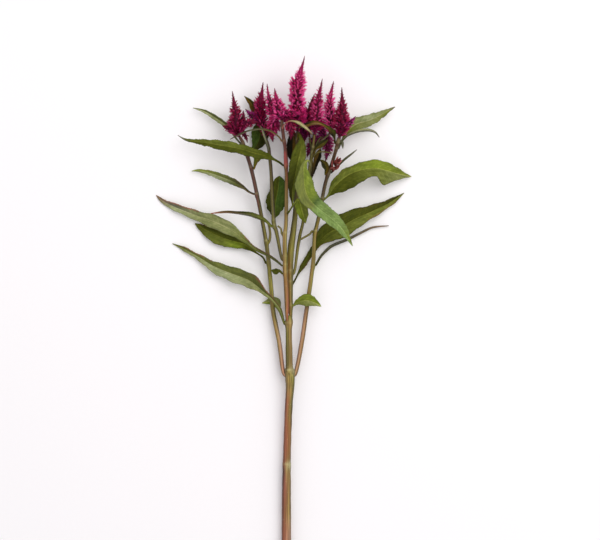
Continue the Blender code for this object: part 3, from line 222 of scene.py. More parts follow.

# The leaves. Stations run from petiole to tip: x, y, height, half width left, and half width right where
# it differs. Fold is how far each half stands up, in degrees, and wave how far its edge does, in
# millimetres. Colours are the share of the length from the stalk, the colour of the left half, and that of
# the right half where it differs. Red edges tell how much each edge reddens.
# The almost black colour is painted shade, where leaves lie in the deep shade under the spikes.
LEAVES = {
    "leaf_left_upper_flower": dict(
        on="left_branch", at=184, aim=215, fold=(5, 5), wave=0.3, grey=True,
        colours=[(0.0, "deep"), (0.3, "grey", "dark"), (1.0, "pale", "dark")],
        stations=[(-48.2, 190, 12.6, 1.0), (-54, 199, 11, 2.2), (-64, 207, 9.5, 2.6),
            (-78.5, 216, 8.5, 1.8), (-91, 220, 7, 0.3)]),
    "leaf_left_top": dict(
        on="centre_stalk", at=162, aim=160, fold=(14, 20), wave=0.6, serrated=True,
        colours=[(0.0, "deep", "night"), (0.15, "dark"), (0.5, "dark", "mid"), (0.85, "dark", "mid"),
            (1.0, "slate")],
        stations=[(-5, 165.5, 27.5, 1.1), (-10.5, 168.5, 29.5, 1.3), (-17, 171.5, 30.5, 3.8, 3.6),
            (-29.5, 174.6, 31, 4.8, 4.6), (-44, 178.8, 29.5, 5.0, 4.8), (-59, 181.6, 27, 5.0, 5.2),
            (-77, 184.6, 22, 3.4, 3.6), (-91, 186.8, 18, 1.9), (-99, 188.5, 15.5, 1.0),
            (-106, 192.6, 13, 0.3)]),
    "leaf_left_slim": dict(
        on="left_branch", at=133, aim=175, fold=(-25, 25), wave=0.4, red_edges=(0.0, 0.3), grey=True,
        colours=[(0.0, "brown", "night"), (0.3, "dark", "deep"), (0.6, "pale", "mid"),
            (1.0, "mid", "bright")],
        stations=[(-35, 136, 15, 1.0), (-40, 140, 14.8, 1.6), (-49.2, 145.4, 14, 3.2),
            (-61.3, 150.4, 11, 3.4), (-73.4, 154.8, 7.5, 2.6), (-85.5, 157.4, 5, 1.4),
            (-92.2, 156.8, 4, 0.3)]),
    "leaf_left_long": dict(
        on="centre_stalk", at=62, aim=185, fold=(-6, 14), wave=0.7, red_edges=(0.0, 0.9), grey=True,
        colours=[(0.0, "deep"), (0.18, "dark", "deep"), (0.32, "mid"), (0.45, "grey"), (0.65, "grey"),
            (0.85, "pale", "slate"), (1.0, "brown")],
        stations=[(-8, 67.5, 18, 1.2), (-15.4, 72.4, 16, 1.5), (-29, 79.5, 14.5, 1.7, 1.8),
            (-39, 87.5, 13.5, 2.2, 2.8), (-52, 97.5, 12, 5.6), (-69, 106, 10, 7.0, 6.8),
            (-85, 111.5, 7.5, 5.2), (-102, 118, 4.8, 4.0, 4.2), (-119, 125.6, 2.2, 2.6),
            (-127.8, 132.7, 0.35, 0.3)]),
    "leaf_left_under": dict(
        on="left_branch", at=65, aim=190, fold=(8, 2), wave=0.5, red_edges=(0.0, 0.3),
        colours=[(0.0, "deep"), (0.3, "dark"), (0.45, "bright", "dark"), (0.62, "mid", "dark"),
            (1.0, "dark")],
        stations=[(-21, 70.5, 8.0, 0.9), (-28.8, 76, 7.0, 1.1), (-39, 83.5, 5.5, 5.0, 4.0),
            (-53, 87.5, 4.6, 7.2, 6.2), (-66, 92, 3.6, 8.2, 6.6), (-79, 98.5, 2.4, 5.0, 4.6),
            (-89, 104.5, 1.2, 0.4)]),
    "leaf_left_edge_on": dict(
        on="left_stalk", at=102, aim=170, fold=(-60, 60), red_edges=(0.2, 0.2),
        colours=[(0.0, "mid"), (0.25, "dark", "mid"), (0.5, "slate", "deep"), (0.85, "brown"),
            (1.0, "edge")],
        stations=[(-19, 107.8, 18.2, 1.7, 1.5), (-26, 111.2, 18.8, 2.4, 2.2), (-35, 114, 19, 2.2, 2.0),
            (-48, 115.4, 18, 1.5, 1.3), (-58.4, 116, 17, 1.1, 1.0), (-72.8, 114.5, 15.5, 0.3)]),
    "leaf_left_low": dict(
        on="main_stem", at=6, aim=165, fold=(12, 24), wave=0.9, red_edges=(0.1, 0.8), grey=True,
        colours=[(0.0, "mid", "dark"), (0.35, "grey", "dark"), (0.6, "pale", "mid"), (1.0, "mid", "dark")],
        stations=[(-3.5, 18, 16.5, 1.4), (-11.5, 28.5, 15.5, 1.6, 1.8), (-19, 35, 14, 2.4, 2.6),
            (-27, 42, 12, 5.0, 6.0), (-37, 48.5, 10, 7.4, 7.6), (-53, 54.5, 7.5, 7.4, 7.0),
            (-69, 61.2, 5.3, 6.0, 5.2), (-84, 70, 3.6, 3.0), (-99, 78.6, 1.8, 2.0, 2.2),
            (-111.5, 84.4, 0.8, 0.3)]),
    "leaf_left_young": dict(
        on="main_stem", at=4, aim=205, fold=(0, 5), wave=0.2,
        colours=[(0.0, "mid"), (1.0, "bright", "grey")],
        stations=[(-4.5, 17.5, 8.0, 1.4), (-7.6, 24.4, 4.6, 4.4, 5.0), (-12, 27, 3.8, 5.0, 4.8),
            (-16.4, 26, 3.4, 2.4, 2.6), (-22, 25, 3.0, 0.3)]),
    "leaf_left_stub": dict(
        on="centre_stalk", at=55, aim=190,
        colours=[(0.0, "deep", "dark"), (1.0, "dark", "deep")],
        stations=[(-4.5, 57, 17.6, 1.5), (-8.5, 56.6, 16.8, 3.2, 2.8), (-12.8, 58, 16, 0.3)]),
    "leaf_left_behind": dict(
        on="left_stalk", at=107, aim=250, wave=0.6,
        colours=[(0.0, "deep", "dark"), (0.4, "dark", "cool"), (1.0, "dark", "cool")],
        stations=[(-9.5, 111, 11.5, 2.0), (-9, 119, 8.8, 7.6, 8.0), (-8, 128, 8.2, 9.8, 10.2),
            (-6, 138, 8.2, 7.6, 9.4), (-5, 147, 8.6, 5.4, 6.0), (-4.5, 152, 9.2, 0.5)]),
    "leaf_under_left_spikes": dict(
        on="left_branch", at=171, aim=290, wave=0.4,
        colours=[(0.0, "deep"), (0.5, "cool", "deep"), (1.0, "deep", "night")],
        stations=[(-32.5, 177, 9.5, 1.2), (-28.5, 181, 7.6, 4.0), (-25, 188, 6.6, 7.8, 8.0),
            (-23.4, 196, 6.2, 8.6, 8.4), (-21.5, 203.5, 6.2, 5.4, 5.2), (-19.8, 209.5, 6.4, 0.4)]),
    "leaf_behind_left_spikes": dict(
        on="left_stalk", at=184, aim=250, fold=(8, 8), wave=0.3,
        colours=[(0.0, "deep"), (0.6, "rust", "deep"), (1.0, "rust", "deep")],
        stations=[(-21, 192, 12.4, 1.2), (-25, 203, 10.6, 3.4), (-28.5, 215, 10.4, 4.2),
            (-32, 223.5, 10.2, 3.2), (-39.7, 231.8, 9.4, 0.3)]),
    "leaf_small_fork": dict(
        on="left_branch", at=160, aim=10, red_edges=(0.6, 0.2),
        colours=[(0.0, "deep", "rust"), (1.0, "bright", "mid")],
        stations=[(-28.3, 165.5, 18.5, 2.0), (-26, 170.5, 19.4, 3.6), (-24, 176.5, 20, 0.5)]),
    "leaf_arching_left": dict(
        on="centre_stalk", at=186, aim=165, fold=(-30, 30), grey=True,
        colours=[(0.0, "brown", "rust"), (0.3, "rust", "deep"), (0.6, "slate", "deep"),
            (1.0, "rust", "night")],
        stations=[(-4.6, 190, 36.6, 0.7), (-8.6, 193.4, 40, 0.7), (-14, 196.6, 41.6, 0.7),
            (-21, 198.2, 42, 0.7), (-28, 198, 41, 0.7), (-36, 196.4, 39.4, 0.7), (-44, 193.2, 37, 0.7),
            (-53.7, 188.2, 31, 0.3)]),
    "leaf_pale_left": dict(
        on="left_stalk", at=178, aim=80, fold=(-20, 20), grey=True,
        colours=[(0.0, "slate", "deep"), (0.6, "grey", "slate"), (1.0, "slate", "deep")],
        stations=[(-17.6, 186.4, 28.6, 0.8), (-19.6, 192, 34.6, 1.0), (-21, 197, 37.6, 1.0, 0.9),
            (-23.4, 201.6, 38.4, 0.3)]),
    "leaf_pale_centre": dict(
        on="centre_stalk", at=200, aim=88, fold=(18, 18), wave=0.2, grey=True,
        colours=[(0.0, "edge"), (0.3, "brown", "edge"), (0.45, "tan", "grey"), (0.8, "tan", "grey"),
            (1.0, "brown", "rust")],
        stations=[(0.6, 203, 45.6, 0.5), (5, 206, 49, 0.6), (10, 206, 50.6, 0.9),
            (15.4, 204, 51, 1.6, 1.5), (21, 200, 50, 1.5, 1.4), (25.6, 196, 48.2, 0.9, 0.8),
            (28.4, 192.4, 46.4, 0.3)]),
    "leaf_centre_top": dict(
        on="inner_stalk", at=188, aim=85, fold=(8, 14), wave=0.5,
        colours=[(0.0, "rust", "deep"), (0.15, "dark"), (0.4, "mid", "dark"), (0.7, "dark", "deep"),
            (1.0, "mid", "deep")],
        stations=[(14.6, 193.5, 33, 1.3), (17.4, 188, 35.5, 1.9, 2.4), (17.4, 180, 37, 4.6, 6.4),
            (14.6, 168, 37.5, 6.8, 8.0), (11.4, 154, 37, 6.6, 7.2), (8.4, 138, 35, 3.4, 4.0),
            (8.6, 122, 32, 0.4)]),
    # Its folded outer half is cool green, partly its own colour and partly a painted sheen
    "leaf_centre_front": dict(
        on="outer_stalk", at=162, aim=100, fold=(12, 12), wave=0.7, grey=True, serrated=True,
        colours=[(0.0, "mid"), (0.3, "bright", "mid"), (0.46, "bright", "mid"), (0.52, "cool", "mid"),
            (0.56, "blue"), (0.8, "blue"), (0.92, "bright", "blue"), (1.0, "mid", "blue")],
        stations=[(25.2, 165, 31, 0.9), (24.6, 167, 40, 1.0), (21.6, 165.6, 45, 1.6), (19.8, 160, 47, 3.4),
            (20, 152, 48.5, 6.6, 6.8), (20.8, 141, 50.5, 9.4, 9.8), (24.5, 130, 52, 9.4, 8.4),
            (34, 119.5, 49.5, 8.4, 6.4), (46, 110.5, 42, 7.6, 6.8), (57.5, 99.5, 33, 5.4, 4.8),
            (68.5, 82, 21, 0.3)]),
    "leaf_centre_hanging": dict(
        on="centre_stalk", at=115, aim=60, fold=(10, 10), wave=0.3,
        colours=[(0.0, "deep"), (0.3, "bright", "mid"), (0.7, "mid", "bright"), (1.0, "mid", "dark")],
        stations=[(9.5, 123, 29, 0.9), (13.4, 127.6, 36, 1.6), (15.8, 124.6, 38.6, 5.4, 5.2),
            (17.6, 118.6, 37.6, 6.2, 5.8), (19.6, 111.6, 35.4, 4.8, 4.4), (21.6, 104.5, 32, 0.3)]),
    "leaf_right_young": dict(
        on="inner_stalk", at=22, aim=25, fold=(6, 6), wave=0.4,
        colours=[(0.0, "mid"), (1.0, "bright", "grey")],
        stations=[(14, 26, 15.5, 3.0), (22.5, 27.8, 16.2, 6.6, 6.2), (30.5, 25.4, 15, 4.2, 3.6),
            (37.1, 21.6, 13, 0.3)]),
    "leaf_right_low": dict(
        on="inner_stalk", at=45, aim=-40, fold=(6, 14), wave=0.8, red_edges=(0.1, 0.3),
        colours=[(0.0, "deep"), (0.3, "dark"), (0.6, "dark", "mid"), (1.0, "deep", "mid")],
        stations=[(14.6, 55, 8.2, 1.1), (19.6, 64, 6.0, 2.4, 3.2), (26, 74, 4.6, 2.6, 3.4),
            (34, 84, 6.4, 4.6, 3.4), (43, 94, 8.6, 9.4, 9.0), (58, 101.7, 9.6, 12.0, 11.2),
            (73, 110, 9.0, 9.6, 9.0), (90, 117.4, 6.6, 6.2, 5.8), (107, 126, 3.4, 3.5, 3.3),
            (120, 135, 0.36, 0.3)]),
    "leaf_right_edge_on": dict(
        on="right_branch", at=62, aim=-20, fold=(-45, 45), red_edges=(0.3, 0.3),
        colours=[(0.0, "deep"), (0.4, "slate"), (1.0, "slate", "brown")],
        stations=[(37, 71.8, 5.0, 1.1), (44.5, 79.6, 3.4, 1.4), (51, 83.6, 3.0, 1.4),
            (63.5, 88.6, 2.8, 1.3), (78, 95.8, 2.6, 1.1), (89, 100.7, 2.2, 0.8),
            (104.7, 102.3, 1.6, 0.3)]),
    "leaf_right_wide": dict(
        on="right_branch", at=129, aim=40, fold=(-30, -8), wave=0.7,
        colours=[(0.0, "mid", "dark"), (0.35, "mid", "dark"), (0.6, "bright", "mid"),
            (1.0, "mid", "grey")],
        stations=[(45, 133, 18.8, 1.4, 1.6), (51, 141.5, 22.8, 5.4, 9.0), (61, 150.6, 25.5, 7.4, 13.0),
            (71, 155.8, 27, 7.2, 12.2), (83, 159, 26.5, 8.0, 9.6), (93, 159.5, 24, 8.4, 8.0),
            (103.5, 157, 19, 7.8, 14.6), (115, 153.8, 11, 4.8, 6.0), (127.2, 151.3, 3, 0.3)]),
    "leaf_right_top": dict(
        on="right_branch", at=179, aim=-40, fold=(6, 6), wave=0.5, serrated=True,
        colours=[(0.0, "deep"), (0.3, "mid"), (0.6, "pale", "grey"), (0.88, "grey", "mid"),
            (1.0, "slate", "deep")],
        stations=[(58.6, 188, 17.6, 1.1), (64.5, 197, 14.0, 4.4, 4.2), (72, 203.5, 12.2, 6.4, 6.2),
            (86.5, 208, 11.6, 5.8, 5.6), (98, 213.6, 11, 3.6, 3.2), (111, 221, 9.4, 0.3)]),
    "leaf_right_top_slim": dict(
        on="right_branch", at=187, aim=-10, fold=(-25, 25),
        colours=[(0.0, "slate", "deep"), (0.5, "grey", "slate"), (1.0, "slate")],
        stations=[(61.4, 190.6, 24.4, 0.9), (66.6, 194, 22.4, 1.3), (75, 197, 20.6, 1.6),
            (84, 197.6, 18.5, 1.5), (91, 195.5, 16, 0.9), (95.2, 190.4, 14, 0.3)]),
    "leaf_right_tiny": dict(
        on="right_branch", at=185, aim=35,
        colours=[(0.0, "slate", "deep"), (1.0, "slate")],
        stations=[(58.0, 186.4, 28.6, 0.9), (58.4, 183.4, 28.2, 1.4), (58.8, 179, 26.6, 0.3)]),
    "leaf_right_narrow": dict(
        on="right_branch", at=156, aim=-30, fold=(-20, 20),
        colours=[(0.0, "deep", "night"), (0.5, "slate", "deep"), (1.0, "slate")],
        stations=[(53.5, 161.5, 13, 0.9), (60, 168, 13.6, 1.1), (67, 173.5, 15, 0.9),
            (72.8, 178.2, 16, 0.3)]),
    "leaf_dark_centre": dict(
        on="inner_stalk", at=162, aim=235, wave=0.3,
        colours=[(0.0, "night"), (0.5, "night", "rust"), (1.0, "night")],
        stations=[(9.8, 166, 17.4, 1.6), (8.6, 172, 16.4, 5.0, 5.4), (8.8, 181, 16.2, 6.0, 6.2),
            (9.0, 190, 16.8, 4.8, 5.0), (9.4, 198, 17.8, 0.4)]),
    "leaf_under_right_spikes": dict(
        on="right_branch", at=185, aim=165, fold=(10, 10), wave=0.3,
        colours=[(0.0, "deep", "night"), (0.25, "night", "deep"), (0.5, "rust", "deep"),
            (0.65, "brown", "rust"), (0.8, "rust", "night"), (1.0, "deep", "night")],
        stations=[(50.2, 190.2, 32.6, 1.2), (48.8, 194.6, 37.6, 3.2, 3.0), (44.4, 199.2, 40.2, 1.8),
            (37.5, 203.2, 41.8, 1.4), (30, 204.6, 42.8, 2.2, 2.0), (22, 202.4, 43.2, 2.2, 2.0),
            (14, 199.6, 43, 0.3)]),
    "leaf_dark_right": dict(
        on="outer_stalk", at=175, aim=60, fold=(8, 8), wave=0.2,
        colours=[(0.0, "deep", "rust"), (1.0, "night", "deep")],
        stations=[(32, 179, 28.5, 1.2), (36, 182.6, 30, 3.0), (40.4, 185.6, 29.6, 2.2),
            (44, 188, 28.6, 0.3)]),
    "leaf_right_fork": dict(
        on="right_branch", at=153, aim=165, fold=(8, 8), wave=0.2,
        colours=[(0.0, "deep", "rust"), (1.0, "night", "deep")],
        stations=[(42.6, 158.5, 20.2, 2.4, 2.2), (41, 163, 21.4, 3.6, 3.4), (38.6, 166, 21.8, 2.0),
            (35.6, 168, 22, 0.3)]),
    "leaf_withered": dict(
        on="outer_stalk", at=150, aim=-10, fold=(10, 10), wave=0.5,
        colours=[(0.0, "night"), (1.0, "rust", "night")],
        stations=[(29.6, 157, 16.6, 1.8), (31.6, 165, 15.6, 2.8), (34.4, 172.5, 15, 3.6, 3.4),
            (36.4, 179.5, 14.6, 0.4)]),
}
PLAIN_LEAF = dict(fold=(0, 0), wave=0.0, red_edges=(0.0, 0.0), grey=False, serrated=False)

# The flower spikes. Each is one or more axes from base to tip: x, y, height, half width out to the floret
# tips. The first axis starts on the end of the stalk that carries it, and the others are side lobes.
# Shade is how much darker its florets are, partly the spike's own tone and partly painted shade where it
# lies low or behind the others, and foot shade is the painted shade at its foot, under other spikes. Lobe
# colours are those of axes in another colour, by their number from 0; the darker lower lobes of the front
# spike are painted shade.
SPIKES = {
    "spike_centre": dict(
        on="inner_stalk", colour="bright", shade=-0.35, painted_foot_shade=0.9, axes=[
            [(14.2, 201, 29.6, 3.2), (14.3, 205, 30.4, 6.6), (14.2, 209, 31, 9.2), (13.6, 215, 32, 9.8),
             (13.0, 221, 33, 9.0), (13.0, 228, 35, 8.4), (13.5, 238, 37.5, 8.6), (14.4, 245, 39, 8.2),
             (15.6, 251, 40.5, 6.6), (17.2, 258, 42, 3.6), (19.0, 264, 43, 1.8), (20.6, 271, 44.5, 0.5)],
            [(10, 208, 27, 4.0), (4, 209.5, 23.8, 6.0), (-2, 211, 22.6, 5.0), (-7, 213, 22, 0.5)]]),
    "spike_far_left": dict(
        on="left_branch", colour="dark", shade=0.05, axes=[
            [(-46.2, 195.5, 23.2, 7.4), (-47.2, 201, 24, 10.4), (-47.6, 208, 24.6, 8.4),
             (-48.2, 214, 25, 6.4), (-49.2, 221, 25.8, 4.8), (-50.4, 229, 26.6, 2.2),
             (-51.6, 236.5, 27.4, 0.5)],
            [(-51, 199.5, 23.5, 3.0), (-56.5, 200, 23.5, 4.2), (-61.6, 202, 23.5, 0.5)],
            [(-43, 203, 24.5, 2.6), (-40.5, 210, 25.5, 3.2), (-40.6, 217, 26.5, 0.5)],
            [(-43, 202, 26.6, 4.2), (-37, 204.5, 29, 5.2), (-30.5, 205.5, 30.6, 4.2),
             (-25.5, 205.5, 31, 0.5)],
            [(-44.5, 197, 22.6, 3.0), (-38.5, 191.6, 20.2, 3.2), (-36.5, 185, 18.6, 0.5)]]),
    "spike_left_back": dict(
        on="left_stalk", colour="mid", shade=0.3, lobe_colours={1: "lilac"}, axes=[
            [(-20.6, 197, 20.0, 2.6), (-22.0, 203, 19, 4.8), (-22.9, 209.5, 18.6, 6.9),
             (-23.6, 216, 18.6, 7.4), (-23.8, 223, 18.8, 7.0), (-23, 230, 19.2, 5.4),
             (-21.8, 237, 19.8, 2.6), (-20.8, 245.5, 20.2, 0.5)],
            [(-26.5, 207, 19.6, 3.0), (-31, 211, 20, 4.6), (-35, 215, 20.6, 3.2),
             (-38.6, 218.6, 21.4, 0.5)]]),
    # Its lower lobes 2 and 3 take darker colours as painted shade, where they hang into the shade under
    # the spikes
    "spike_left_front": dict(
        on="centre_stalk", colour="bright", lobe_colours={2: "mid", 3: "dark"}, axes=[
            [(-3.6, 213, 39.6, 8.0), (-5.4, 220, 39.6, 7.2), (-7.2, 227, 40, 5.2), (-8.4, 233, 41, 2.6),
             (-9.4, 239, 42, 0.5)],
            [(-6, 208.5, 37.4, 3.6), (-11.4, 213.5, 36, 6.0), (-13.2, 221, 35.6, 5.6),
             (-14.8, 229, 35.8, 3.8), (-16, 236, 36.2, 1.8), (-16.8, 243.5, 36.8, 0.5)],
            [(-6, 211.5, 36.4, 3.4), (-10.2, 205, 31.6, 6.8), (-11.8, 198, 28.8, 7.4),
             (-12, 191.5, 27.8, 4.4), (-10.8, 185.5, 27, 0.5)],
            [(0.4, 212, 39.4, 3.4), (4.8, 206.5, 40.6, 5.2), (6.8, 200, 38.6, 6.2),
             (7.2, 193.5, 36.4, 4.0), (6.8, 187.5, 34.6, 0.5)],
            [(-2, 214.5, 43.6, 3.6), (6, 214.5, 46.2, 4.4), (13, 214, 47.6, 3.2), (19, 213, 48, 0.5)]]),
    "spike_right_back": dict(
        on="stalk_to_right_back", colour="dark", axes=[
            [(24.8, 200, 17.4, 4.6), (25, 209, 17.4, 6.2), (26.2, 217, 17.6, 5.6), (28, 225, 17.8, 3.8),
             (30.4, 233.5, 18, 0.5)]]),
    "spike_right_mid": dict(
        on="outer_stalk", colour="mid", shade=-0.3, painted_foot_shade=0.7, axes=[
            [(31.6, 200.5, 30.8, 6.6), (32.8, 208.5, 32.2, 8.0), (33.2, 217, 33.2, 7.2),
             (33.8, 225, 34.2, 6.2), (35.2, 233, 35.2, 4.0), (36.8, 240.5, 36, 2.0),
             (38.3, 248.5, 37, 0.5)]]),
    "spike_right_tall": dict(
        on="stalk_to_right_tall", colour="bright", shade=-0.5, axes=[
            [(46.2, 199.5, 17.8, 6.0), (46.2, 207.5, 17.6, 7.6), (45.6, 216, 17.8, 6.4),
             (45.4, 224, 18.2, 5.6), (46.2, 231, 18.8, 4.4), (47.8, 238.5, 19.6, 2.4),
             (49.5, 246.5, 20.5, 0.5)]]),
    "spike_far_right": dict(
        on="right_branch", colour="dark", shade=-0.2, painted_foot_shade=0.3, lobe_colours={1: "lilac"}, axes=[
            [(56.8, 196, 30, 7.2), (57.2, 202, 31, 9.2), (57.6, 211, 31.6, 8.2), (58, 219, 32.2, 6.4),
             (58, 226, 32.8, 4.2), (57.8, 232.5, 33.4, 2.2), (57.6, 240, 34, 0.5)],
            [(60, 201, 31, 3.4), (66, 205, 31, 4.4), (71.6, 211.2, 31, 0.5)]]),
    "spike_low_right": dict(
        on="stalk_to_low_right", colour="purple", shade=-0.2, axes=[
            [(42.0, 191.5, 12.0, 4.4), (43.4, 186, 11.0, 6.4), (43.6, 179, 10.2, 5.6),
             (42.8, 173.0, 9.6, 3.8), (41.4, 166.5, 9, 0.5)],
            [(40.4, 190.8, 11.2, 3.4), (34, 189.4, 8.0, 6.2), (30, 186, 7.2, 6.0), (25.8, 179, 6.8, 5.0),
             (23, 170.5, 6.4, 0.5)],
            [(40.4, 191.5, 10.6, 3.6), (37.6, 198, 9.6, 5.4), (36.6, 205, 9.4, 4.4),
             (36.4, 212, 9.2, 0.5)]]),
    "spike_low_centre": dict(
        on="stalk_to_low_centre", colour="purple", shade=0.6, axes=[
            [(19.6, 195, 6.8, 6.6), (18, 206, 4.3, 7.4), (17, 216, 3.7, 4.8), (16, 226, 3.4, 0.6)]]),
}
PLAIN_SPIKE = dict(shade=0.0, painted_foot_shade=0.0, lobe_colours={})


def rgb(red, green, blue):
    """A colour in screen values from 0 to 255, as the shaders' linear values."""
    return tuple(
        ((value / 255 + 0.055) / 1.055) ** 2.4 if value > 10 else value / 3295
        for value in (red, green, blue))


def colour_setting(label, red, green, blue):
    """A colour for a group of settings, in screen values."""
    return bpy.props.FloatVectorProperty(
        name=label, description=f"Colour: {label.lower()}", subtype="COLOR", size=3, min=0.0, max=1.0,
        default=rgb(red, green, blue))


def number_setting(label, description, default, **options):
    """A number for a group of settings."""
    return bpy.props.FloatProperty(name=label, description=description, default=default, **options)


def length_setting(label, description, millimetres):
    """A length for a group of settings."""
    return number_setting(label, description, millimetres * MM, unit="LENGTH")


class StalkSettings(bpy.types.PropertyGroup):
    """Sizes and colours of the stalks."""
    ring_spacing: length_setting("Ring spacing", "Distance between the rings of a stalk's mesh", 1.6)
    ridge_depth: length_setting("Ridge depth", "Depth of the lengthwise ridges", 0.16)
    node_width: length_setting("Node width", "Length of the swelling where a leaf or branch leaves", 3.0)
    bark: colour_setting("Red-brown bark", 158, 96, 68)
    straw: colour_setting("Straw", 156, 134, 74)
    olive: colour_setting("Olive", 112, 108, 36)
    moss: colour_setting("Yellow-green", 138, 136, 48)
    dusk: colour_setting("Dark olive", 78, 74, 24)
    plum: colour_setting("Red-brown top", 104, 60, 52)
    blush: colour_setting("Pinkish brown", 186, 150, 124)
    rose: colour_setting("Pink-red sheath", 184, 84, 84)
    amber: colour_setting("Golden brown", 138, 106, 50)
    umber: colour_setting("Dark brown", 84, 54, 28)
    pith: colour_setting("Pith of the cut end", 196, 200, 150)


class LeafSettings(bpy.types.PropertyGroup):
    """Sizes and colours of the leaves."""
    row_spacing: length_setting("Row spacing", "Distance between the rows of a blade's mesh", 1.25)
    column_spacing: length_setting("Column spacing", "Distance between a wide blade's columns", 0.8)
    blade_thickness: length_setting("Blade thickness", "Thickness of the blade between its veins", 0.4)
    rib_thickness: length_setting("Rib thickness", "Thickness of the petiole and of the midrib", 1.7)
    rib_width: length_setting("Rib width", "Half width of the midrib", 0.75)
    vein_spacing: length_setting("Vein spacing", "Distance between side veins on a wide blade", 6.0)
    vein_relief: length_setting("Vein relief", "How far a blade bulges between its side veins", 0.4)
    mid: colour_setting("Mid green", 98, 106, 38)
    dark: colour_setting("Dark green", 70, 76, 14)
    deep: colour_setting("Deep olive", 50, 52, 8)
    # Painted shade: near black, for leaves and leaf parts in the deep shade under the spikes
    night: colour_setting("Almost black", 24, 20, 7)
    grey: colour_setting("Grey-green", 124, 130, 76)
    bright: colour_setting("Bright green", 112, 128, 34)
    cool: colour_setting("Dark cool green", 66, 88, 28)
    # Partly the leaf's own cooler green, partly a painted sheen where a blade faces the light
    blue: colour_setting("Cool green", 112, 136, 66)
    pale: colour_setting("Pale green", 144, 152, 104)
    slate: colour_setting("Slate", 84, 86, 64)
    tan: colour_setting("Dry tan", 150, 134, 94)
    brown: colour_setting("Brownish twig", 104, 80, 50)
    rust: colour_setting("Rusty olive", 86, 66, 14)
    edge: colour_setting("Reddish edge", 142, 80, 62)
    underside: colour_setting("Underside", 122, 132, 76)


class FloretSettings(bpy.types.PropertyGroup):
    """Sizes and colours of the florets."""
    spacing: length_setting("Spacing", "Distance between florets on a spike", 3.4)
    length: length_setting("Floret length", "Length of an open floret", 7.8)
    width: length_setting("Tepal width", "Width of one tepal", 1.6)
    thickness: length_setting("Tepal thickness", "Thickness of one tepal at its keel", 0.55)
    bright: colour_setting("Bright magenta", 244, 46, 134)
    mid: colour_setting("Mid magenta", 192, 24, 94)
    dark: colour_setting("Dark maroon", 158, 18, 64)
    purple: colour_setting("Dark purple", 152, 34, 104)
    # Partly the tepals' own paler tips, partly a painted highlight
    light: colour_setting("Light tips", 246, 104, 170)
    lilac: colour_setting("Lilac near the base", 190, 44, 150)
    # Painted shade between the florets, at the base of each tepal
    deep: colour_setting("Deep between the florets", 80, 5, 40)
    shoot_red: colour_setting("Young shoot", 182, 104, 92)
    shoot_deep: colour_setting("Young shoot near its base", 88, 40, 34)


class StageSettings(bpy.types.PropertyGroup):
    """Floor, light and camera."""
    floor: colour_setting("Floor", 250, 249, 251)
    floor_size: number_setting("Floor size", "Side of the floor", 6.0, unit="LENGTH")
    camera_height: number_setting("Camera height", "Height above the floor", 9.0, unit="LENGTH")
    view_width: number_setting("View width", "Width of floor that the camera sees", 0.6, unit="LENGTH")
    view_centre: bpy.props.FloatVectorProperty(
        name="View centre", description="The point that the camera looks down on", size=2,
        default=(0.016, 0.058), unit="LENGTH", subtype="TRANSLATION")
    lamp_power: number_setting("Lamp power", "Power of the large soft lamp", 25.0)
    lamp_size: number_setting("Lamp size", "Width of the large soft lamp", 2.0, unit="LENGTH")
    sky_strength: number_setting("Sky strength", "Strength of the even light", 0.73)


def deselect():
    """Leaves edit mode and selects nothing."""
    if bpy.context.object and bpy.context.object.mode != "OBJECT":
        bpy.ops.object.mode_set(mode="OBJECT")
    bpy.ops.object.select_all(action="DESELECT")


def pick(*objects):
    """Selects just these objects, with the first one active."""
    deselect()
    for obj in objects:
        obj.select_set(True)
    bpy.context.view_layer.objects.active = objects[0]


def edit_all(obj):
    """Opens a piece in edit mode with all of it selected."""
    pick(obj)
    bpy.ops.object.mode_set(mode="EDIT")
    bpy.ops.mesh.select_all(action="SELECT")


def catmull(before, start, end, after, share):
    """One value on the smooth curve from start to end."""
    b = end - before
    c = 2 * before - 5 * start + 4 * end - after
    d = -before + 3 * start - 3 * end + after
    return 0.5 * (2 * start + b * share + c * share ** 2 + d * share ** 3)


def smooth_path(rows, step, least=2):
    """Rows of numbers that start with x, y, z, read every step along a smooth curve."""
    fine = []
    for i in range(len(rows) - 1):
        around = [rows[max(i - 1, 0)], rows[i], rows[i + 1], rows[min(i + 2, len(rows) - 1)]]
        for k in range(PARTS_PER_STRETCH):
            fine.append([catmull(*column, k / PARTS_PER_STRETCH) for column in zip(*around)])
    fine.append(list(rows[-1]))
    lengths = [0.0]
    for one, two in zip(fine, fine[1:]):
        lengths.append(lengths[-1] + (Vector(two[:3]) - Vector(one[:3])).length)
    count = max(least, round(lengths[-1] / step)) + 1
    path = []
    j = 0
    for i in range(count):
        wanted = lengths[-1] * i / (count - 1)
        while j < len(fine) - 2 and lengths[j + 1] < wanted:
            j += 1
        share = (wanted - lengths[j]) / max(lengths[j + 1] - lengths[j], 1e-9)
        path.append([a + (b - a) * min(share, 1.0) for a, b in zip(fine[j], fine[j + 1])])
    return path


def place_on(rows, y):
    """The centre and radius of a stalk where it passes y."""
    near = min(smooth_path(rows, 2.0), key=lambda row: abs(row[1] - y))
    return Vector(near[:3]), near[3]


def beside(rows, y, aim, reach):
    """A point at reach from a stalk's skin, on the side that aim (degrees from +X to +Z) gives."""
    centre, radius = place_on(rows, y)
    turn = math.radians(aim)
    return centre + Vector((math.cos(turn), 0, math.sin(turn))) * (radius + reach)


def path_length(path):
    return sum((Vector(b[:3]) - Vector(a[:3])).length for a, b in zip(path, path[1:]))


def ramp(value, low, high):
    """A smooth step from 0 at low to 1 at high."""
    share = min(1.0, max(0.0, (value - low) / (high - low)))
    return share * share * (3 - 2 * share)


def mix(one, two, share):
    return tuple(a + (b - a) * share for a, b in zip(one, two))


